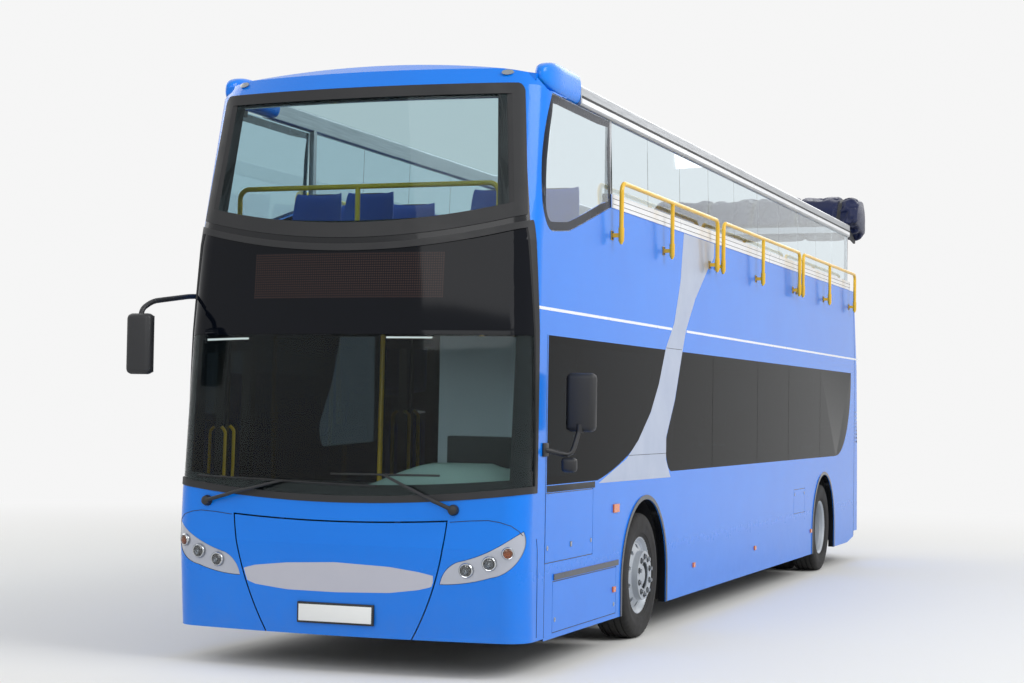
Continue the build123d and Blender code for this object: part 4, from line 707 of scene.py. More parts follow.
# Nose: the silver band across the middle flap and the blank plate
flapTree = nodeTree("front_flap")
noseSettings = {
    # X: band's lower and upper edge
    "band": [(-0.70, 0.585, 0.655), (-0.60, 0.553, 0.680), (-0.36, 0.529, 0.707), (0.0, 0.527, 0.724),
             (0.38, 0.539, 0.709), (0.58, 0.566, 0.683), (0.68, 0.592, 0.662)],
    # X where the flap's edge is felt for, and the steps from there inwards
    "bandReach": 0.76, "bandFeel": 0.002, "bandMargin": 0.006, "bandLift": 0.0008, "bandThickness": 0.0006,
    "bandColumns": 56, "bandRows": 6,
    # half width, foot and head of the plate, and Y from the flap to the backs and faces of its frame and sheet
    "plate": (0.265, 0.330, 0.443), "frameReach": (-0.012, 0.004), "sheetReach": (-0.0155, -0.0105),
    "plateRim": 0.012, "frameBevel": 0.004, "sheetBevel": 0.002,
}


def blendRow(table, x):
    for low, high in zip(table, table[1:]):
        if x <= high[0]:
            t = (x - low[0]) / (high[0] - low[0])
            return [blend(a, b, t) for a, b in zip(low[1:], high[1:])]
    return list(table[-1][1:])


def flapReach(z):
    # half width of the flap at height z, felt for on its own surface
    reach = noseSettings["bandReach"]
    while hitFront(flapTree, reach, z)[0] is None or hitFront(flapTree, -reach, z)[0] is None:
        reach -= noseSettings["bandFeel"]
    return reach - noseSettings["bandMargin"]


def makeBand():
    bm = bmesh.new()
    table, rows, columns = noseSettings["band"], noseSettings["bandRows"], noseSettings["bandColumns"]
    grid = []
    for row in range(rows + 1):
        line = []
        for column in range(columns + 1):
            x = blend(table[0][0], table[-1][0], column / columns)
            z = blend(*blendRow(table, x), row / rows)
            reach = flapReach(z)
            place, _ = hitFront(flapTree, max(-reach, min(reach, x)), z)
            line.append(place - yAxis * noseSettings["bandLift"])
        grid.append(line)
    addSheetSolid(bm, grid, (0, noseSettings["bandThickness"], 0))
    finishMesh("flapBand", bm, mats["silverBand"], body="front_flap", smooth=40)


def addPlate(bm, settings, face, frame, sheet):
    # a blank plate in its frame, on a surface at Y = face
    half, foot, head = settings["plate"]
    rim = settings["plateRim"]
    backs, fronts = settings["frameReach"], settings["sheetReach"]
    addBox(bm, (-half - rim, face + backs[0], foot - rim), (half + rim, face + backs[1], head + rim), frame,
           settings["frameBevel"])
    addBox(bm, (-half, face + fronts[0], foot), (half, face + fronts[1], head), sheet, settings["sheetBevel"])


def makePlate():
    bm = bmesh.new()
    half, foot, head = noseSettings["plate"]
    front = min(hitFront(flapTree, x, z)[0].y for x in (-half, 0, half) for z in (foot, head))
    addPlate(bm, noseSettings, front, 0, 1)
    finishMesh("blankPlateFront", bm, [mats["blackPlastic"], mats["plate"]], body="front_flap",
               smooth=30)


makeBand()
makePlate()

# Head lamps: chrome bezels, dark reflector bowls and clear lenses on the silver plates
lampTree = nodeTree("head_lamps")
lampSettings = {
    # X, Z, radius, kind of each lamp on one side
    "lamps": [(0.902, 0.704, 0.043, "white"), (1.054, 0.752, 0.043, "white"), (1.173, 0.822, 0.036, "amber")],
    # side views, as share of the radius and height above the plate
    "bezel": [(0.86, -0.001), (0.88, 0.010), (1.0, 0.012), (1.12, 0.007), (1.16, -0.003)],
    "bowl": [(0.87, 0.006), (0.60, 0.0022), (0.30, 0.0012), (0, 0.001)],
    "bulb": [(0.26, 0.001), (0.24, 0.005), (0.12, 0.008), (0, 0.009)],
    # out over the dome and back under it
    "lens": [(0.87, 0.007), (0.80, 0.011), (0.5, 0.0155), (0.2, 0.0172), (0, 0.0175),
             (0, 0.0155), (0.2, 0.0152), (0.5, 0.0135), (0.78, 0.0092), (0.85, 0.007)],
}


def makeHeadLamps():
    solid, lenses = bmesh.new(), bmesh.new()
    settings = lampSettings
    for side in (1, -1):
        for x, z, radius, kind in settings["lamps"]:
            place, normal = hitFront(lampTree, side * x, z)
            isWhite = kind == "white"
            addDome(solid, place, normal, settings["bezel"], 0, size=radius)
            addDome(solid, place, normal, settings["bowl"], 1 if isWhite else 2, size=radius)
            if isWhite:
                addDome(solid, place, normal, settings["bulb"], 0, 24, radius)
            addDome(lenses, place, normal, settings["lens"], 0 if isWhite else 1, size=radius)
    finishMesh("headLampBezels", solid, [mats["chrome"], mats["reflector"], mats["amberBowl"]],
               smooth=40)
    finishMesh("headLampLenses", lenses, [mats["lampCover"], mats["amberCover"]], smooth=40)


makeHeadLamps()
print("nose pieces made")

# Tyres with real grooves, shoulders and bead rings, in place of the plain ones
tyreSettings = {
    "radius": 0.480, "steps": 168,
    # how far the tread falls at 0.1 m from its middle; (offset, drop) across a groove, and where grooves and ribs are
    "crownFall": 0.0035, "groove": [(-0.0065, 0), (-0.0045, 0.012), (0.0045, 0.012), (0.0065, 0)],
    "grooves": (-0.078, -0.028, 0.028, 0.078), "ribs": (-0.100, -0.053, 0.0, 0.053, 0.100),
    # short cross slots in the two shoulder ribs: one in so many steps, their depth, and their ends
    "slotEvery": 3, "slotDepth": 0.007, "slotSpan": (0.086, 0.126),
    # sidewall from the bead outwards: (distance from the middle, radius)
    "sidewall": [(0.098, 0.2862), (0.110, 0.2940), (0.119, 0.3060), (0.1235, 0.3180), (0.1265, 0.3215),
                 (0.1290, 0.3230), (0.1305, 0.3340), (0.1345, 0.3580), (0.1362, 0.3800), (0.1368, 0.3815),
                 (0.1366, 0.3850), (0.1372, 0.3865), (0.1356, 0.4080), (0.1330, 0.4300), (0.1288, 0.4500),
                 (0.1240, 0.4620), (0.1160, 0.4700)],
}


def tyreProfile():
    settings = tyreSettings
    points = [(groove + offset, drop) for groove in settings["grooves"] for offset, drop in settings["groove"]]
    points += [(rib, 0) for rib in settings["ribs"]]
    crown = sorted((x, settings["radius"] - settings["crownFall"] * (x / 0.1) ** 2 - drop) for x, drop in points)
    return [(-x, r) for x, r in settings["sidewall"]] + crown + settings["sidewall"][::-1]


def addTyre(bm, centreX, axleY):
    settings = tyreSettings
    centre = Vector((centreX, axleY, settings["radius"]))
    inner, outer = settings["slotSpan"]
    profile = tyreProfile()
    rings = []
    for k in range(settings["steps"]):
        turn = 2 * math.pi * k / settings["steps"]
        direction = yAxis * math.cos(turn) + zAxis * math.sin(turn)
        ring = []
        for x, r in profile:
            if k % settings["slotEvery"] == 0 and inner < abs(x) < outer:
                r -= settings["slotDepth"]
            ring.append(bm.verts.new(centre + xAxis * x + direction * r))
        rings.append(ring)
    for near, far in zip(rings, rings[1:] + rings[:1]):
        bridge(bm, near, far)


def makeTyres():
    track, twin = bodyShape["track"], bodyShape["twin"]
    for side, name in ((1, "left"), (-1, "right")):
        for start, node, body, axle, offsets in (
            ("frontTyre", "front_tyre_", "front_wheel_", "frontAxle", (0,)),
            ("rearTyres", "rear_tyres_", "rear_wheels_", "rearAxle", (0, twin)),
        ):
            bm = bmesh.new()
            for offset in offsets:
                addTyre(bm, side * (track - offset), bodyShape[axle])
            piece = finishMesh(start + name.capitalize(), bm, mats["tyre"], body + name, 35)
            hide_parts(node + name)


makeTyres()

# Wheel nuts on their seats, round the front discs and inside the rear ones
nutSettings = {
    # start of the body's name, axle, radius of the circle, and X from the tyre's middle to the disc
    "discs": [("front_wheel_", "frontAxle", 0.145, 0.1582), ("rear_wheels_", "rearAxle", 0.160, -0.137)],
    "count": 10, "size": 0.016, "height": 0.018, "lift": 0.003,
    "seatRadius": 0.023, "seatHeight": 0.0035, "seatSides": 20,
}


def makeNuts():
    settings = nutSettings
    for side, name in ((1, "left"), (-1, "right")):
        for place, axle, circle, face in settings["discs"]:
            bm = bmesh.new()
            centre = Vector((side * (bodyShape["track"] + face), bodyShape[axle], bodyShape["wheelCentre"]))
            for k in range(settings["count"]):
                turn = 2 * math.pi * (k + 0.5) / settings["count"]
                middle = centre + (yAxis * math.cos(turn) + zAxis * math.sin(turn)) * circle
                seat = [addRing(bm, middle + xAxis * side * rise, yAxis, zAxis, settings["seatRadius"],
                                settings["seatSides"]) for rise in (0.0, settings["seatHeight"])]
                bridge(bm, *seat, 1)
                bm.faces.new(seat[1]).material_index = 1
                ends = []
                for rise in (settings["lift"], settings["lift"] + settings["height"]):
                    ends.append(addRing(bm, middle + xAxis * side * rise, yAxis, zAxis, settings["size"], 6))
                    bm.faces.new(ends[-1])
                bridge(bm, *ends)
            finishMesh(place.split("_")[0] + "Nuts" + name.capitalize(), bm, [mats["zinc"], mats["iron"]], place + name,
                       30)


makeNuts()
print("tyres and wheel pieces made")

# Mirrors: coated tube arms, rounded heads and their glass
mirrorSettings = {
    # arm points, arm radius, head's middle (X, Y), its foot and top Z, its width and depth; left, then right
    "mirrors": [
        ([(1.2755, -5.53, 1.48), (1.425, -5.42, 1.44), (1.455, -5.345, 1.62)],
         0.016, (1.455, -5.315), (1.60, 1.99), (0.205, 0.09)),
        ([(-1.2680, -5.50, 2.50), (-1.335, -5.62, 2.50), (-1.385, -6.055, 2.44), (-1.400, -6.165, 2.38),
          (-1.400, -6.175, 2.30)], 0.018, (-1.393, -6.185), (1.94, 2.35), (0.185, 0.095)),
    ],
    # radius of the arm's bends and of the head's edges; thickness and half sizes of the flange on the body; half
    # the length of the sleeve under the head, and its radius as a share of the arm's
    "armBend": 0.06, "headEdge": 0.036, "flange": (0.014, 0.05, 0.045), "sleeve": 0.03, "sleeveSize": 1.5,
    # rubber rim and glass, on the side that looks back: inset at the sides, inset at foot and top, how far before
    # the head's back it starts and ends, material, bevel
    "layers": [(0.012, 0.014, 0.012, 0.002, 1, 0.004), (0.020, 0.022, 0.006, 0.0005, 2, 0.002)],
    # second, smaller mirror on the left bracket, shell then glass: two corners, material, bevel, its segments
    "low": [((1.375, -5.500, 1.335), (1.480, -5.440, 1.430), 0, 0.025, 5),
            ((1.385, -5.446, 1.345), (1.470, -5.4385, 1.420), 2, 0.002, 2)],
}


def makeMirrors():
    bm = bmesh.new()
    settings = mirrorSettings
    thick, halfY, halfZ = settings["flange"]
    for arm, radius, (x, y), (foot, top), (width, depth) in settings["mirrors"]:
        addTube(bm, roundPath(arm, settings["armBend"]), radius, 14)
        root, tip = Vector(arm[0]), Vector(arm[-1])
        outward = math.copysign(thick, x)
        addBox(bm, root - Vector((0, halfY, halfZ)), root + Vector((outward, halfY, halfZ)), 0, 0.006)
        sleeve = zAxis * settings["sleeve"]
        addTube(bm, [tip - sleeve, tip + sleeve], radius * settings["sleeveSize"], 14)
        half, back = width / 2, y + depth / 2
        addBox(bm, (x - half, y - depth / 2, foot), (x + half, back, top), 0, settings["headEdge"], 6)
        for inset, margin, start, end, material, bevel in settings["layers"]:
            addBox(bm, (x - half + inset, back - start, foot + margin), (x + half - inset, back - end, top - margin),
                   material, bevel)
    for part in settings["low"]:
        addBox(bm, *part)
    piece = finishMesh("mirrorSet", bm, [mats["blackPlastic"], mats["gasket"], mats["mirror"]],
                       smooth=35)
    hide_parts("mirrors")


makeMirrors()

# Wipers: tapered arms from their spindles to long blades that lie along the foot of the glass
wiperSettings = {
    # pivot, blade's outer and inner end, as (X, Z)
    "places": [((-0.990, 1.095), (-1.085, 1.262), (0.288, 1.228)), ((0.813, 1.088), (0.710, 1.306), (-0.050, 1.300))],
    "armLift": 0.026, "armBow": 0.022, "armRoot": 0.0145, "armTip": 0.0080, "armSteps": 16,
    "bladeLift": 0.0095, "blade": 0.0070, "bladeSteps": 30,
    # the spine over the blade: its rise and bow above it, its radius, and how many steps it is shorter at each end
    "spineRise": 0.006, "spineBow": 0.006, "spine": 0.0045, "spineShort": 3, "joint": 0.009,
    "spindle": [(0.036, -0.004), (0.036, 0.018), (0.029, 0.038), (0.014, 0.046), (0, 0.047)],
}
screenTree = nodeTree("windscreen_lower", "screen_surrounds", "front_mask", "front_hoop", "front_flap")


def alongGlass(start, end, steps, lift, bow=0.0):
    # points on the nose between two (X, Z) places, each lifted off it, most at the middle
    points = []
    for k in range(steps + 1):
        t = k / steps
        place, normal = hitFront(screenTree, blend(start[0], end[0], t), blend(start[1], end[1], t))
        points.append(place + normal * (lift + bow * math.sin(math.pi * t)))
    return points


def makeWipers():
    bm = bmesh.new()
    settings = wiperSettings
    steps, short = settings["armSteps"], settings["spineShort"]
    for pivot, outer, inner in settings["places"]:
        middle = ((outer[0] + inner[0]) / 2, (outer[1] + inner[1]) / 2)
        arm = alongGlass(pivot, middle, steps, settings["armLift"], settings["armBow"])
        addTube(bm, arm, [blend(settings["armRoot"], settings["armTip"], k / steps) for k in range(steps + 1)], 10)
        blade = alongGlass(outer, inner, settings["bladeSteps"], settings["bladeLift"])
        addTube(bm, blade, settings["blade"], 8, 1)
        spine = alongGlass(outer, inner, settings["bladeSteps"], settings["bladeLift"] + settings["spineRise"],
                           settings["spineBow"])[short:-short]
        addTube(bm, spine, settings["spine"], 8)
        crown = spine[len(spine) // 2]
        addTube(bm, [arm[-1], (arm[-1] + crown) / 2, crown], settings["joint"], 8)
        addDome(bm, *hitFront(screenTree, *pivot), settings["spindle"], 0, 24)
    piece = finishMesh("wiperPair", bm, [mats["blackPlastic"], mats["gasket"]], smooth=35)
    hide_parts("wipers")


makeWipers()
print("mirrors and wipers made")

# Dashboard cover behind the lower screen: low on the door side, a hump at the steering wheel
coverSettings = {
    "half": 1.10, "foot": 1.10, "low": 1.168, "high": 1.375, "riseFrom": -0.12, "riseTo": 0.62,
    # gap to the glass, depth front to back and its rearmost Y, and the skin's thickness
    "gap": 0.060, "depth": 0.29, "back": -5.47, "skin": 0.008, "columns": 44, "rows": 10,
    # Z where the glass is felt for, and how round the cover's front is
    "glassAt": 1.30, "crown": 0.8,
    # its ends come down from this X on, by so much at the last one
    "endsFrom": 0.95, "endsFall": 0.05,
    # how far the rear edge hangs down in steps, steps back, and leans back for each metre down
    "hem": (0.02, 0.05, 0.09), "hemBack": 0.004, "hemLean": 0.1,
}
glassTree = nodeTree("windscreen_lower")


def coverHeight(x):
    settings = coverSettings
    t = (x - settings["riseFrom"]) / (settings["riseTo"] - settings["riseFrom"])
    t = max(0.0, min(1.0, t))
    fall = settings["endsFall"] * max(0.0, abs(x) - settings["endsFrom"]) / (settings["half"] - settings["endsFrom"])
    return blend(settings["low"], settings["high"], t * t * (3 - 2 * t)) - fall


def makeDashCover():
    bm = bmesh.new()
    settings = coverSettings
    grid = []
    for column in range(settings["columns"] + 1):
        x = blend(-settings["half"], settings["half"], column / settings["columns"])
        front = hitFront(glassTree, x, settings["glassAt"])[0].y + settings["gap"]
        depth = min(settings["depth"], settings["back"] - front)
        height = coverHeight(x)
        line = []
        for step in range(settings["rows"] + 1):
            t = step / settings["rows"]
            z = blend(settings["foot"], height, math.sin(math.pi / 2 * t) ** settings["crown"])
            line.append(Vector((x, front + depth * t, z)))
        back = front + depth + settings["hemBack"]
        line += [Vector((x, back + drop * settings["hemLean"], height - drop)) for drop in settings["hem"]]
        grid.append(line)
    addSheetSolid(bm, grid, (0, 0, -settings["skin"]))
    finishMesh("dashboardCover", bm, mats["palePlastic"], smooth=50)


makeDashCover()

# Seams, catches and dark strips of the sides and the nose
trimSettings = {
    "seamRadius": 0.0022, "face": 1.2745, "sink": 0.0005,
    # (X, Z) over the lamps to the corner, then (Y, Z) down the side
    "cornerSeam": [(0.790, 1.010), (0.920, 1.022), (1.043, 1.028), (1.120, 1.017), (1.187, 0.996), (1.228, 0.962),
                   (1.250, 0.925)],
    "seamFall": [(-5.66, 0.90), (-5.645, 0.83), (-5.64, 0.60), (-5.64, 0.25)],
    # Y, foot and head of the upright seams behind the front corner and before the rear one
    "frontSeam": (-5.5, 0.245, 2.24), "rearSeam": (5.75, 0.29, 2.25, 3.2),
    # Y, Z of round catches, and of a square one; a catch's side view as (X, radius)
    "catches": [(-5.45, 0.83), (-4.52, 0.83), (-5.28, 0.345), (-3.96, 0.330), (2.34, 0.90), (2.82, 0.90)],
    "catch": [(1.2749, 0.016), (1.2775, 0.016), (1.2785, 0.013), (1.2785, 0.006), (1.2772, 0.005)],
    "square": (-4.96, 0.83, 0.0175, 1.2785),
    "darkStrip": ((1.2740, -5.475, 1.197), (1.2765, -4.44, 1.240)),
    # seams across the silver band: first and last Y, Z
    "bandSeams": [(-3.66, -2.60, 1.410), (-2.63, -2.16, 2.252)],
}
maskTree = nodeTree("front_mask", "head_lamps")


def layOn(tree, corners, aim, lift=0.0006, step=0.012):
    # a line through the corners, laid on the surface that the rays meet; aim gives each ray's start and way
    places = []
    for first, second in zip(corners, corners[1:]):
        count = max(1, round(math.dist(first, second) / step))
        for k in range(count):
            start, way = aim(*(blend(a, b, k / count) for a, b in zip(first, second)))
            place, _, _, _ = tree.ray_cast(start, way)
            if place:
                places.append(place - way * lift)
    return places


def makeTrim():
    bm = bmesh.new()
    settings = trimSettings
    radius, face = settings["seamRadius"], settings["face"]
    frontY, frontFoot, frontHead = settings["frontSeam"]
    rearY, rearFoot, rearWaist, rearHead = settings["rearSeam"]
    for side in (1, -1):
        path = layOn(maskTree, settings["cornerSeam"], lambda x, z: (Vector((side * x, ahead, z)), yAxis))
        path += layOn(maskTree, settings["seamFall"], lambda y, z: (Vector((side * beside, y, z)), xAxis * -side))
        addTube(bm, path, radius, 6)
        addTube(bm, [(side * face, frontY, frontFoot), (side * face, frontY, frontHead)], radius, 6)
        addTube(bm, [(side * face, rearY, rearFoot), (side * face, rearY, rearWaist),
                     (side * (halfWidth(rearHead) - settings["sink"]), rearY, rearHead)], radius, 6)
    for start, end, z in settings["bandSeams"]:
        addTube(bm, [(halfWidth(z), start, z), (halfWidth(z), end, z)], radius, 6)
    for y, z in settings["catches"]:
        rings = [addRing(bm, Vector((x, y, z)), yAxis, zAxis, r, 20) for x, r in settings["catch"]]
        for low, high in zip(rings, rings[1:]):
            bridge(bm, low, high, 1)
        bm.faces.new(rings[-1])
    y, z, half, outer = settings["square"]
    addBox(bm, (face, y - half, z - half), (outer, y + half, z + half), 1, 0.002)
    addBox(bm, *settings["darkStrip"], 0, 0.001)
    finishMesh("sideTrim", bm, [mats["gasket"], mats["aluminium"]], smooth=35)


makeTrim()

# Quarter lights: a black printed border round each pane, over the ledge that it is bonded to
borderSettings = {
    "width": 0.058, "gap": 0.006, "lift": 0.0008, "thickness": 0.0005, "shares": (0.0, 0.34, 0.67, 1.0),
    # how deep the border lies where there is no pane behind it
    "depth": 0.004,
    "outline": [(-5.345, 3.866), (-5.405, 3.760), (-5.470, 3.600), (-5.525, 3.420), (-5.550, 3.270), (-5.560, 3.120),
                (-5.550, 3.052), (-5.520, 2.995), (-5.470, 2.952), (-5.410, 2.933), (-5.350, 2.935), (-5.190, 2.948),
                (-5.030, 2.965), (-4.875, 3.003), (-4.720, 3.045), (-4.500, 3.106), (-4.280, 3.168), (-4.060, 3.229),
                (-4.060, 3.450), (-4.060, 3.660), (-4.060, 3.866), (-4.350, 3.866), (-4.700, 3.866), (-5.050, 3.866)],
}
paneTree = nodeTree("deck_panes")


def makeQuarterBorders():
    bm = bmesh.new()
    settings = borderSettings
    outline = settings["outline"]
    for side in (1, -1):
        rows = []
        for i, (y, z) in enumerate(outline):
            (y0, z0), (y1, z1) = outline[i - 1], outline[(i + 1) % len(outline)]
            along = Vector((y1 - y0, z1 - z0)).normalized()
            row = []
            for share in settings["shares"]:
                reach = settings["gap"] + share * settings["width"]
                a, b = y - along.y * reach, z + along.x * reach
                place, _, _, _ = paneTree.ray_cast(Vector((side * beside, a, b)), xAxis * -side)
                x = place.x if place else side * (halfWidth(b) - settings["depth"])
                row.append(Vector((x + side * settings["lift"], a, b)))
            rows.append(row)
        lows = [[point - xAxis * side * settings["thickness"] for point in row] for row in rows]
        addLayers(bm, rows, lows, loop=True)
    finishMesh("quarterLightBorders", bm, mats["borderPrint"], smooth=35)


makeQuarterBorders()

# Deck rails: a black insert and a white lower band along each top rail, and two black lines along the belt
railSettings = {
    "face": 1.24564, "beltFace": 1.25556, "root": 0.001,
    # which face, how proud of it, first Y, foot and head, material
    "bands": [("face", 0.0022, -4.76, 3.926, 3.942, 0), ("face", 0.0010, -4.76, 3.890, 3.922, 1),
              ("beltFace", 0.0008, -4.04, 3.256, 3.260, 0), ("beltFace", 0.0008, -4.04, 3.296, 3.300, 0)],
    "back": 5.49,
}


def makeRailBands():
    bm = bmesh.new()
    settings = railSettings
    for side in (1, -1):
        for key, proud, front, foot, head, material in settings["bands"]:
            face = settings[key]
            addBox(bm, (side * (face - settings["root"]), front, foot), (side * (face + proud), settings["back"], head),
                   material)
    finishMesh("railBands", bm, [mats["gasket"], mats["white"]])


makeRailBands()

# Roof drive pods: one moulded bullet shape each, round at the front and cut off square at the rail
podSettings = {
    "inner": 1.096, "outer": 1.2455, "foot": 3.8725, "head": 4.0915,
    "front": -5.449, "shoulder": -5.16, "back": -4.7905,
    # how square the section and the nose's outline are, where 2 is round; the nose's smallest size, and the steps
    "section": 3.2, "nose": 2.3, "tip": 0.02, "noseSteps": 12, "bodySteps": 4, "sides": 40,
}


def makePods():
    bm = bmesh.new()
    settings = podSettings
    halfX, halfZ = (settings["outer"] - settings["inner"]) / 2, (settings["head"] - settings["foot"]) / 2
    midX, midZ = (settings["outer"] + settings["inner"]) / 2, (settings["head"] + settings["foot"]) / 2
    shoulder, sides, power = settings["shoulder"], settings["sides"], 2 / settings["section"]
    reach = shoulder - settings["front"]
    count = settings["noseSteps"]
    stations = [shoulder - reach * math.sin(math.pi / 2 * k / count) for k in range(count, 0, -1)]
    stations += [blend(shoulder, settings["back"], k / settings["bodySteps"]) for k in range(settings["bodySteps"] + 1)]
    for side in (1, -1):
        rings = []
        for y in stations:
            away = max(0.0, (shoulder - y) / reach)
            size = max(settings["tip"], (1 - away ** settings["nose"]) ** (1 / settings["nose"]))
            ring = []
            for k in range(sides):
                c, s = math.cos(2 * math.pi * k / sides), math.sin(2 * math.pi * k / sides)
                x = math.copysign(abs(c) ** power, c) * halfX * size
                z = math.copysign(abs(s) ** power, s) * halfZ * size
                ring.append(bm.verts.new((side * (midX + x), y, midZ + z)))
            rings.append(ring)
        for low, high in zip(rings, rings[1:]):
            bridge(bm, low, high)
        for ring in (rings[0], rings[-1]):
            bm.faces.new(ring)
    piece = finishMesh("roofDrivePods", bm, mats["bluePods"], smooth=60)
    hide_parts("roof_pods")


makePods()

# Guard rail clips: rubber pads and bolts where each post stands on the side
guardSettings = {
    "posts": [-4.05, -2.67, -1.21, -1.0, 0.56, 2.24, 2.42, 3.87, 5.42], "rail": 1.325, "foot": 3.025,
    # the pad's half sizes and thickness, then Z from the post's foot, and radius, along its pointed boot
    "pad": (0.030, 0.034, 0.006), "padGap": 0.0004, "boot": [(-0.066, 0.008), (-0.040, 0.0205), (0.055, 0.0215)],
    "collars": (-0.020, 0.040), "collarHeight": 0.012, "collarRadius": 0.0205,
    # Y from the post to a bolt, its start and end off the side, and its radius
    "bolt": (0.021, 0.004, 0.011, 0.006),
}


def makeGuardClips():
    bm = bmesh.new()
    settings = guardSettings
    z = settings["foot"]
    inner = halfWidth(z) + settings["padGap"]
    halfY, halfZ, thick = settings["pad"]
    aside, start, end, boltRadius = settings["bolt"]
    for side in (1, -1):
        rail = side * settings["rail"]
        for y in settings["posts"]:
            addBox(bm, (side * inner, y - halfY, z - halfZ), (side * (inner + thick), y + halfY, z + halfZ), 1, 0.002)
            addTube(bm, [(rail, y, z + rise) for rise, _ in settings["boot"]], [r for _, r in settings["boot"]], 14)
            for rise in settings["collars"]:
                addTube(bm, [(rail, y, z + rise), (rail, y, z + rise + settings["collarHeight"])],
                        settings["collarRadius"], 16)
            for shift in (-aside, aside):
                addTube(bm, [(side * (inner + start), y + shift, z), (side * (inner + end), y + shift, z)],
                        boltRadius, 6, 2)
    finishMesh("guardRailClips", bm, [mats["yellow"], mats["gasket"], mats["zinc"]], smooth=35)


makeGuardClips()
print("side trim and rails made")

# Seats: moulded shells in pairs on steel frames; the lower deck's carry woven pads
seatSettings = {
    "x": 0.72, "width": 0.405, "gap": 0.425, "rows": 22, "columns": 10,
    # side view of the shell's face, (Y, Z) from the front lip up to the head
    "profile": [(-0.232, 0.412), (-0.226, 0.436), (-0.195, 0.449), (-0.09, 0.446), (0.03, 0.436), (0.125, 0.436),
                (0.168, 0.462), (0.190, 0.53), (0.212, 0.66), (0.232, 0.80), (0.250, 0.92), (0.262, 0.980),
                (0.276, 1.002)],
    # how far the edges curl, where the head starts to narrow and by how much, and how much the lip does, each with
    # the power that it follows
    "curl": 0.020, "curlPower": 3, "headFrom": 0.72, "headNarrow": 0.48, "headPower": 1.2,
    "lipNarrow": 0.05, "lipPower": 6,
    # first and last share of the shell that each woven pad covers
    "pads": [(0.04, 0.46), (0.52, 0.95)], "shellThickness": 0.010, "padThickness": 0.014, "padLift": 0.016,
    "padInset": 0.10,
    # hoop handle over the head, then two beams under the seat as (Y, Z, radius, sides)
    "hoop": [(-0.150, 0.262, 0.84), (-0.150, 0.284, 0.985), (-0.105, 0.284, 1.000), (0.105, 0.284, 1.000),
             (0.150, 0.284, 0.985), (0.150, 0.262, 0.84)], "hoopBend": 0.05, "hoopRadius": 0.0095,
    "beams": [(0.03, 0.398, 0.020, 10), (-0.14, 0.410, 0.014, 8)], "beamHalf": 0.41,
    # legs stand at this X: leg, foot plate and cross piece, as half width, Y and Z from and to, bevel
    "legs": (-0.24, 0.24),
    "legParts": [(0.025, 0.008, 0.052, 0.002, 0.392, 0.006), (0.060, 0.001, 0.059, 0.0005, 0.010, 0.003),
                 (0.012, -0.15, 0.06, 0.396, 0.416, 0.0)],
    # upper deck: floor, first row, pitch, rows, and the Y between which the staircase takes the left seats
    "upperFloor": 2.33, "upperRows": (-4.70, 0.79, 13), "stairs": (-4.55, -2.33),
    # lower deck: floor, and rows as side, first Y, pitch, count; then pairs on both sides as Y and floor
    "lowerFloor": 0.36, "lowerRows": [(1, -1.70, 0.78, 5), (-1, 0.64, 0.78, 2)],
    "lowerPairs": [(2.33, 0.36), (3.02, 0.76), (4.90, 1.14)],
}


def seatPlaces():
    settings = seatSettings
    x = settings["x"]
    first, pitch, count = settings["upperRows"]
    start, end = settings["stairs"]
    upper = []
    for row in range(count):
        y = first + row * pitch
        for side in (1, -1):
            if side < 0 or not start < y < end:
                upper.append((side * x, y, settings["upperFloor"]))
    lower = [(side * x, first + row * pitch, settings["lowerFloor"])
             for side, first, pitch, count in settings["lowerRows"] for row in range(count)]
    lower += [(side * x, y, z) for side in (1, -1) for y, z in settings["lowerPairs"]]
    return upper, lower


def shellPoint(u, v, lift=0.0):
    # u runs from 0 at the lip to 1 at the head, v from -1 to 1 across; the edges curl up and forwards
    settings = seatSettings
    profile = settings["profile"]
    step = u * (len(profile) - 1)
    index = min(int(step), len(profile) - 2)
    t = step - index
    (y0, z0), (y1, z1) = profile[index], profile[index + 1]
    along = Vector((0, y1 - y0, z1 - z0)).normalized()
    out = Vector((0, -along.z, along.y))
    head = settings["headNarrow"] * max(0, u - settings["headFrom"]) ** settings["headPower"]
    narrow = 1 - head - settings["lipNarrow"] * (1 - u) ** settings["lipPower"]
    x = v * settings["width"] / 2 * narrow
    curl = settings["curl"] * abs(v) ** settings["curlPower"]
    return Vector((x, blend(y0, y1, t), blend(z0, z1, t))) + out * (curl + lift)


def addShell(bm, middle, first, last, thick, lift, material, inset=0.0):
    rows, columns = seatSettings["rows"], seatSettings["columns"]
    tops, lows = [
        [[middle + shellPoint(blend(first, last, i / rows), (2 * j / columns - 1) * (1 - inset), height)
          for j in range(columns + 1)] for i in range(rows + 1)]
        for height in (lift, lift - thick)
    ]
    addLayers(bm, tops, lows, material)


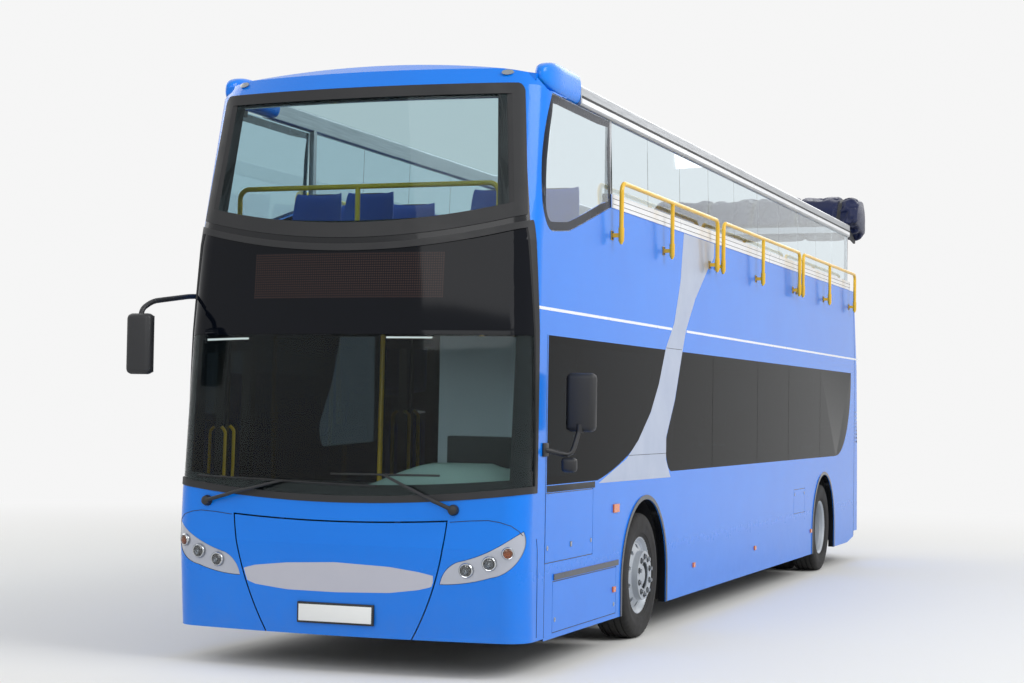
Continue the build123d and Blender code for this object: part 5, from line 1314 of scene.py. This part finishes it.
def makeSeats():
    settings = seatSettings
    half = settings["beamHalf"]
    for name, places in zip(("upper", "lower"), seatPlaces()):
        bm = bmesh.new()
        for place in places:
            base = Vector(place)
            for share in (-0.5, 0.5):
                middle = base + xAxis * share * settings["gap"]
                addShell(bm, middle, 0.0, 1.0, settings["shellThickness"], 0.0, 0)
                if name == "lower":
                    for first, last in settings["pads"]:
                        addShell(bm, middle, first, last, settings["padThickness"], settings["padLift"], 2,
                                 settings["padInset"])
                hoop = [middle + Vector(p) for p in settings["hoop"]]
                addTube(bm, roundPath(hoop, settings["hoopBend"], 3), settings["hoopRadius"], 8, 1)
            for y, z, radius, sides in settings["beams"]:
                addTube(bm, [base + Vector((-half, y, z)), base + Vector((half, y, z))], radius, sides, 3)
            for x in settings["legs"]:
                for reach, yFrom, yTo, zFrom, zTo, bevel in settings["legParts"]:
                    low, high = Vector((x - reach, yFrom, zFrom)), Vector((x + reach, yTo, zTo))
                    addBox(bm, base + low, base + high, 3, bevel, 1)
        finishes = [mats[key] for key in ("shell", "blackPlastic", "moquette", "steel")]
        piece = finishMesh(name + "DeckSeats", bm, finishes, smooth=40)
        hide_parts(name + "_seats")


makeSeats()
print("seats made")

# Door leaves: near-black glossy fields on both faces, the glass's tint with painted shade of the saloon behind, closing
# rubbers and inner grab bars
doorSettings = {
    "leaves": {"front_door_leaf_a": (-5.375, -4.7575), "front_door_leaf_b": (-4.7425, -4.125),
               "middle_door_leaf_a": (-1.060, -0.4425), "middle_door_leaf_b": (-0.4275, 0.190)},
    "foot": 0.49, "head": 2.085, "frame": 0.065,
    # the dark glass fields with their painted shade, on the outer and the inner face: X from and to, inset, corner
    "fields": [(-1.2758, -1.2745, 0.0, 0.045), (-1.2655, -1.2642, 0.002, 0.02)],
    # closing rubber: X from and to, reach before and past the meeting edge, foot and head
    "rubber": (-1.2762, -1.232, 0.012, 0.004, 0.402, 2.173),
    # grab bar: its way from the meeting edge, and (X, Z) along it
    "barInset": 0.10, "bar": [(-1.236, 0.95), (-1.205, 0.98), (-1.205, 1.52), (-1.236, 1.55)],
    "barBend": 0.02, "barRadius": 0.012,
}


def roundedOutline(y0, y1, z0, z1, corner, steps=6):
    outline = []
    for cy, cz, start in ((y1 - corner, z1 - corner, 0), (y0 + corner, z1 - corner, 90),
                          (y0 + corner, z0 + corner, 180), (y1 - corner, z0 + corner, 270)):
        for k in range(steps + 1):
            turn = math.radians(start + 90 * k / steps)
            outline.append((cy + corner * math.cos(turn), cz + corner * math.sin(turn)))
    return outline


def makeDoors():
    settings = doorSettings
    frame = settings["frame"]
    near, far, before, past, rubberFoot, rubberHead = settings["rubber"]
    for name, (start, end) in settings["leaves"].items():
        bm = bmesh.new()
        for x0, x1, inset, corner in settings["fields"]:
            outline = roundedOutline(start + frame + inset, end - frame - inset, settings["foot"] + inset,
                                     settings["head"] - inset, corner)
            addPrism(bm, *[[(x, y, z) for y, z in outline] for x in (x0, x1)])
        meeting, way = (end, 1) if name.endswith("_a") else (start, -1)
        addBox(bm, (near, meeting - way * before, rubberFoot), (far, meeting + way * past, rubberHead), 1, 0.002, 1)
        bar = [(x, meeting - way * settings["barInset"], z) for x, z in settings["bar"]]
        addTube(bm, roundPath(bar, settings["barBend"], 3), settings["barRadius"], 10, 2)
        door, leaf = name.split("_leaf_")
        finishMesh(door.replace("_door", "Door") + "Glass" + leaf.upper(), bm,
                   [mats["blackGloss"], mats["gasket"], mats["yellow"]], name, 30)


makeDoors()

# Tail: lamp rings, blank plate, lid handle and rear marker lenses
tailTree = nodeTree("rear_wall", "engine_lid", "rear_lamps")
tailSettings = {
    # X, Z, size and material number of each lamp on one side
    "lamps": [(1.080, 1.100, 0.058, 1), (1.080, 0.930, 0.058, 1), (1.080, 0.760, 0.058, 2), (1.080, 0.640, 0.0464, 3)],
    "lampLift": 0.004,
    # side views, as share of the radius and height above the wall
    "ring": [(0.90, 0.000), (0.92, 0.006), (1.0, 0.007), (1.08, 0.004), (1.10, -0.008)],
    "lens": [(0.91, 0.002), (0.86, 0.007), (0.5, 0.010), (0.2, 0.011), (0, 0.0112)],
    "plate": (0.26, 0.440, 0.550), "frameReach": (-0.004, 0.008), "sheetReach": (0.005, 0.0105),
    "plateRim": 0.012, "frameBevel": 0.003, "sheetBevel": 0.002,
    # (X, Z) of the handle, and (X, Y) along it from there
    "handle": (0.0, 0.640), "grip": [(-0.07, -0.002), (-0.06, 0.028), (0.06, 0.028), (0.07, -0.002)],
    "gripBend": 0.02, "gripRadius": 0.008,
}


def makeTail():
    bm = bmesh.new()
    settings = tailSettings
    for side in (1, -1):
        for x, z, radius, material in settings["lamps"]:
            place, normal = hitRear(tailTree, side * x, z)
            place = place + normal * settings["lampLift"]
            addDome(bm, place, normal, settings["ring"], 0, 36, radius)
            addDome(bm, place, normal, settings["lens"], material, 36, radius)
    half, foot, head = settings["plate"]
    back = max(hitRear(tailTree, x, z)[0].y for x in (-half, 0, half) for z in (foot, head))
    addPlate(bm, settings, back, 4, 5)
    finishes = [mats[key] for key in ("chrome", "red", "amber", "white", "blackPlastic", "plate")]
    finishMesh("tailLampRings", bm, finishes, smooth=35)
    bm = bmesh.new()
    place, _ = hitRear(tailTree, *settings["handle"])
    grip = [place + Vector((x, y, 0)) for x, y in settings["grip"]]
    addTube(bm, roundPath(grip, settings["gripBend"], 4), settings["gripRadius"], 10)
    finishMesh("lidHandle", bm, mats["blackPlastic"], body="engine_lid", smooth=40)


makeTail()
print("doors and tail made")

# Folded roof: coated fabric gathered on its bows and tied with webbing
roofSettings = {
    "half": 1.30, "stations": 132, "loop": 44, "middle": (5.97, 4.14),
    # side view of the bundle, (Y, Z), clockwise from its front
    "section": [(5.585, 4.055), (5.60, 4.12), (5.66, 4.22), (5.76, 4.325), (5.88, 4.375), (6.00, 4.395), (6.12, 4.37),
                (6.21, 4.31), (6.275, 4.21), (6.305, 4.10), (6.30, 4.00), (6.27, 3.94), (6.20, 3.915), (6.13, 3.912),
                (6.00, 3.945), (5.85, 3.985), (5.70, 4.022)],
    # how much the section shrinks: all along, at a strap and over which width, and in the last stretch of each end
    "slack": 0.03, "pull": 0.055, "pullWidth": 0.055, "endPull": 0.16, "endLength": 0.10,
    # the folds that it was laid in: their depth, the share of it in Z, their number, and how they wander with X; then
    # the seeded unevenness
    "foldDepth": 0.006, "foldUp": 0.6, "folds": 7, "foldWander": 1.5, "foldPitch": 3.1, "unevenness": 0.002,
    "cloth": {"quality": 6, "mass": 0.5, "tension_stiffness": 18, "compression_stiffness": 18, "shear_stiffness": 6,
              "bending_stiffness": 0.25, "shrink_min": -0.16, "vertex_group_mass": "held", "use_pressure": True,
              "uniform_pressure_force": 1.4},
    "gravity": 0.3, "frames": 22, "cap": 0.034, "heldAtStrap": 0.02, "heldAtEnd": 0.03,
    # how round the finer mesh is drawn, and how far its points are then evened out
    "rounding": 0.6, "evening": 0.3,
    "straps": (-1.08, -0.56, 0.0, 0.56, 1.08), "strapWidth": 0.045, "strapSkins": (0.001, 0.0040), "strapSteps": 64,
    "strapRays": 0.9,
}


def loopPoint(share, shrink):
    # (Y, Z) at a share of the way round the section, drawn in towards its middle
    section = roofSettings["section"]
    lengths = [math.dist(a, b) for a, b in zip(section, section[1:] + section[:1])]
    reach = share % 1.0 * sum(lengths)
    for index, length in enumerate(lengths):
        if reach <= length:
            break
        reach -= length
    ends = section[index], section[(index + 1) % len(section)]
    return [m + (blend(a, b, reach / length) - m) * (1 - shrink) for a, b, m in zip(*ends, roofSettings["middle"])]


def strapPull(x):
    # how far the bundle is drawn in at X by the webbing round it
    width = roofSettings["pullWidth"]
    return sum(roofSettings["pull"] * math.exp(-((x - strap) / width) ** 2) for strap in roofSettings["straps"])


def startRoof():
    settings = roofSettings
    bm = bmesh.new()
    rings = []
    stations, loop, uneven = settings["stations"], settings["loop"], settings["unevenness"]
    for i in range(stations + 1):
        x = -settings["half"] + 2 * settings["half"] * i / stations
        ends = max(0.0, abs(x) - settings["half"] + settings["endLength"]) / settings["endLength"]
        shrink = settings["slack"] + strapPull(x) + settings["endPull"] * ends ** 2
        ring = []
        for k in range(loop):
            y, z = loopPoint(k / loop, shrink)
            wander = settings["foldWander"] * math.sin(x * settings["foldPitch"])
            fold = settings["foldDepth"] * math.sin(k / loop * 2 * math.pi * settings["folds"] + wander)
            fold += random.uniform(-uneven, uneven)
            z += fold * settings["foldUp"]
            ring.append(bm.verts.new((x + random.uniform(-uneven, uneven), y + fold, z)))
        rings.append(ring)
    for low, high in zip(rings, rings[1:]):
        bridge(bm, low, high)
    for ring in (rings[0], rings[-1]):
        bm.faces.new(ring)
    return finishMesh("foldedRoofFabric", bm, mats["roof"])


def looseRoof(piece):
    # let loose as cloth, held at the straps and ends, and no point moves further than the cap
    settings = roofSettings
    start = [vertex.co.copy() for vertex in piece.data.vertices]
    held = piece.vertex_groups.new(name="held")
    for index, point in enumerate(start):
        tied = min(abs(point.x - strap) for strap in settings["straps"]) < settings["heldAtStrap"]
        if tied or abs(point.x) > settings["half"] - settings["heldAtEnd"]:
            held.add([index], 1.0, "REPLACE")
    cloth = piece.modifiers.new("cloth", "CLOTH")
    for key, value in settings["cloth"].items():
        setattr(cloth.settings, key, value)
    cloth.settings.effector_weights.gravity = settings["gravity"]
    cloth.collision_settings.use_collision = False
    cloth.point_cache.frame_end = settings["frames"]
    for frameNumber in range(1, settings["frames"] + 1):
        bpy.context.scene.frame_set(frameNumber)
    shaped = piece.evaluated_get(bpy.context.evaluated_depsgraph_get())
    moved = [vertex.co.copy() for vertex in shaped.data.vertices]
    piece.modifiers.clear()
    bpy.context.scene.frame_set(1)
    for vertex, old, new in zip(piece.data.vertices, start, moved):
        shift = new - old
        if shift.length > settings["cap"]:
            shift *= settings["cap"] / shift.length
        vertex.co = old + shift
    piece.vertex_groups.clear()


def makeStraps(fabric):
    # webbing round the bundle, laid on the finished fabric
    settings = roofSettings
    bm = bmesh.new()
    mesh = fabric.data
    tree = BVHTree.FromPolygons([v.co.copy() for v in mesh.vertices], [list(f.vertices) for f in mesh.polygons])
    for strap in settings["straps"]:
        grids = [[], []]
        for k in range(settings["strapSteps"]):
            turn = -2 * math.pi * k / settings["strapSteps"]
            ray = yAxis * math.cos(turn) + zAxis * math.sin(turn)
            for grid in grids:
                grid.append([])
            for share in (-1, -0.5, 0.5, 1):
                middle = Vector((strap + share * settings["strapWidth"] / 2, *settings["middle"]))
                place, _, _, _ = tree.ray_cast(middle + ray * settings["strapRays"], -ray)
                for grid, skin in zip(grids, settings["strapSkins"]):
                    grid[-1].append(place + ray * skin)
        addLayers(bm, *grids, loop=True)
    finishMesh("roofStraps", bm, mats["webbing"], smooth=40)


def makeRoof():
    piece = startRoof()
    looseRoof(piece)
    bm = bmesh.new()
    bm.from_mesh(piece.data)
    bmesh.ops.subdivide_edges(bm, edges=bm.edges, cuts=1, use_grid_fill=True, smooth=roofSettings["rounding"])
    bmesh.ops.smooth_vert(bm, verts=bm.verts, factor=roofSettings["evening"], use_axis_x=True, use_axis_y=True,
                          use_axis_z=True)
    bm.to_mesh(piece.data)
    bm.free()
    piece.data.shade_smooth()
    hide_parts("folded_roof")
    makeStraps(piece)


makeRoof()
print("folded roof made")

# Camera at the photograph's viewing angle: place and far limit in metres, turns in degrees, lens and sensor in mm
cameraSettings = {"place": (5.444, -17.396, 1.744), "yaw": 20.381, "pitch": 2.021, "roll": 0.886, "lens": 67.26,
                  "sensor": 36.0, "far": 400.0}


def makeCamera():
    camera = bpy.data.objects.new("camera", bpy.data.cameras.new("camera"))
    bpy.context.scene.collection.objects.link(camera)
    camera.data.lens = cameraSettings["lens"]
    camera.data.sensor_width = cameraSettings["sensor"]
    camera.data.clip_end = cameraSettings["far"]
    yaw, tilt, roll = [
        Matrix.Rotation(math.radians(angle), 4, axis) for angle, axis in
        ((cameraSettings["yaw"], "Z"), (90 + cameraSettings["pitch"], "X"), (cameraSettings["roll"], "Z"))
    ]
    camera.matrix_world = Matrix.Translation(cameraSettings["place"]) @ yaw @ tilt @ roll
    bpy.context.scene.camera = camera


# Floor, backdrop and lights of a plain studio
stageSettings = {
    "floorColour": "#e9e9e7", "floorHalf": 150, "floorFade": (7.5, 18.0),
    "worldColour": "#ffffff", "worldStrength": 0.5, "backdropStrength": 0.92,
    # name: place, size, power, target
    "lamps": {
        "key": ((17, -6, 15), 12, 2700, (0, -1, 1.5)),
        "front": ((1, -22, 11), 11, 880, (0, -4, 2)),
        "right": ((-17, 2, 13), 12, 900, (0, 0, 1.5)),
        "rear": ((2, 20, 12), 11, 800, (0, 4, 2)),
    },
}


def backdropMask(tree):
    # 1 where the eye sees a surface, straight, mirrored or through glass, and 0 where it only lights others
    path = addNode(tree, "ShaderNodeLightPath")
    seen = addNode(tree, "ShaderNodeMath", {"operation": "MAXIMUM"},
                   {0: path.outputs["Is Camera Ray"], 1: path.outputs["Is Glossy Ray"]})
    seen = addNode(tree, "ShaderNodeMath", {"operation": "MAXIMUM"},
                   {0: seen.outputs[0], 1: path.outputs["Is Transmission Ray"]})
    return seen.outputs[0]


def makeFloor():
    bm = bmesh.new()
    half = stageSettings["floorHalf"]
    bm.faces.new([bm.verts.new((x, y, 0)) for x, y in ((-half, -half), (half, -half), (half, half), (-half, half))])
    # far from the object the pale floor shows the backdrop's own white, so that it has no edge
    material, tree, shader = newMaterial("paleStudioFloor", {
        "Base Color": hexLinear(stageSettings["floorColour"]), "Roughness": 0.8,
    })
    output = next(n for n in tree.nodes if n.type == "OUTPUT_MATERIAL")
    place = addNode(tree, "ShaderNodeTexCoord")
    reach = addNode(tree, "ShaderNodeVectorMath", {"operation": "LENGTH"}, {0: place.outputs["Object"]})
    near, far = stageSettings["floorFade"]
    fade = addNode(tree, "ShaderNodeMapRange", {"interpolation_type": "SMOOTHSTEP", 1: near, 2: far},
                   {0: reach.outputs["Value"]})
    share = addNode(tree, "ShaderNodeMath", {"operation": "MULTIPLY"}, {0: fade.outputs[0], 1: backdropMask(tree)})
    glow = addNode(tree, "ShaderNodeEmission", {"Strength": stageSettings["backdropStrength"]})
    mix = addNode(tree, "ShaderNodeMixShader", links={0: share.outputs[0], 1: shader.outputs[0], 2: glow.outputs[0]})
    tree.links.new(mix.outputs[0], output.inputs["Surface"])
    floor = finishMesh("studioFloor", bm, material, body=None)


def makeWorld():
    world = bpy.data.worlds.new("studioWorld")
    bpy.context.scene.world = world
    world.use_nodes = True
    tree = world.node_tree
    tree.nodes.clear()
    strength = addNode(tree, "ShaderNodeMapRange", {
        3: stageSettings["worldStrength"], 4: stageSettings["backdropStrength"],
    }, {0: backdropMask(tree)})
    light = addNode(tree, "ShaderNodeBackground", {"Color": hexLinear(stageSettings["worldColour"])},
                    {"Strength": strength.outputs[0]})
    addNode(tree, "ShaderNodeOutputWorld", links={"Surface": light.outputs[0]})


def makeLamps():
    for name, (place, size, power, target) in stageSettings["lamps"].items():
        lamp = bpy.data.objects.new(name + "Lamp", bpy.data.lights.new(name + "Lamp", "AREA"))
        bpy.context.scene.collection.objects.link(lamp)
        lamp.data.energy = power
        lamp.data.size = size
        lamp.location = place
        lamp.rotation_euler = (Vector(target) - Vector(place)).to_track_quat("-Z", "Y").to_euler()


makeCamera()
makeFloor()
makeWorld()
makeLamps()
bpy.context.scene.view_settings.view_transform = "Standard"
print("camera, floor and lights placed")
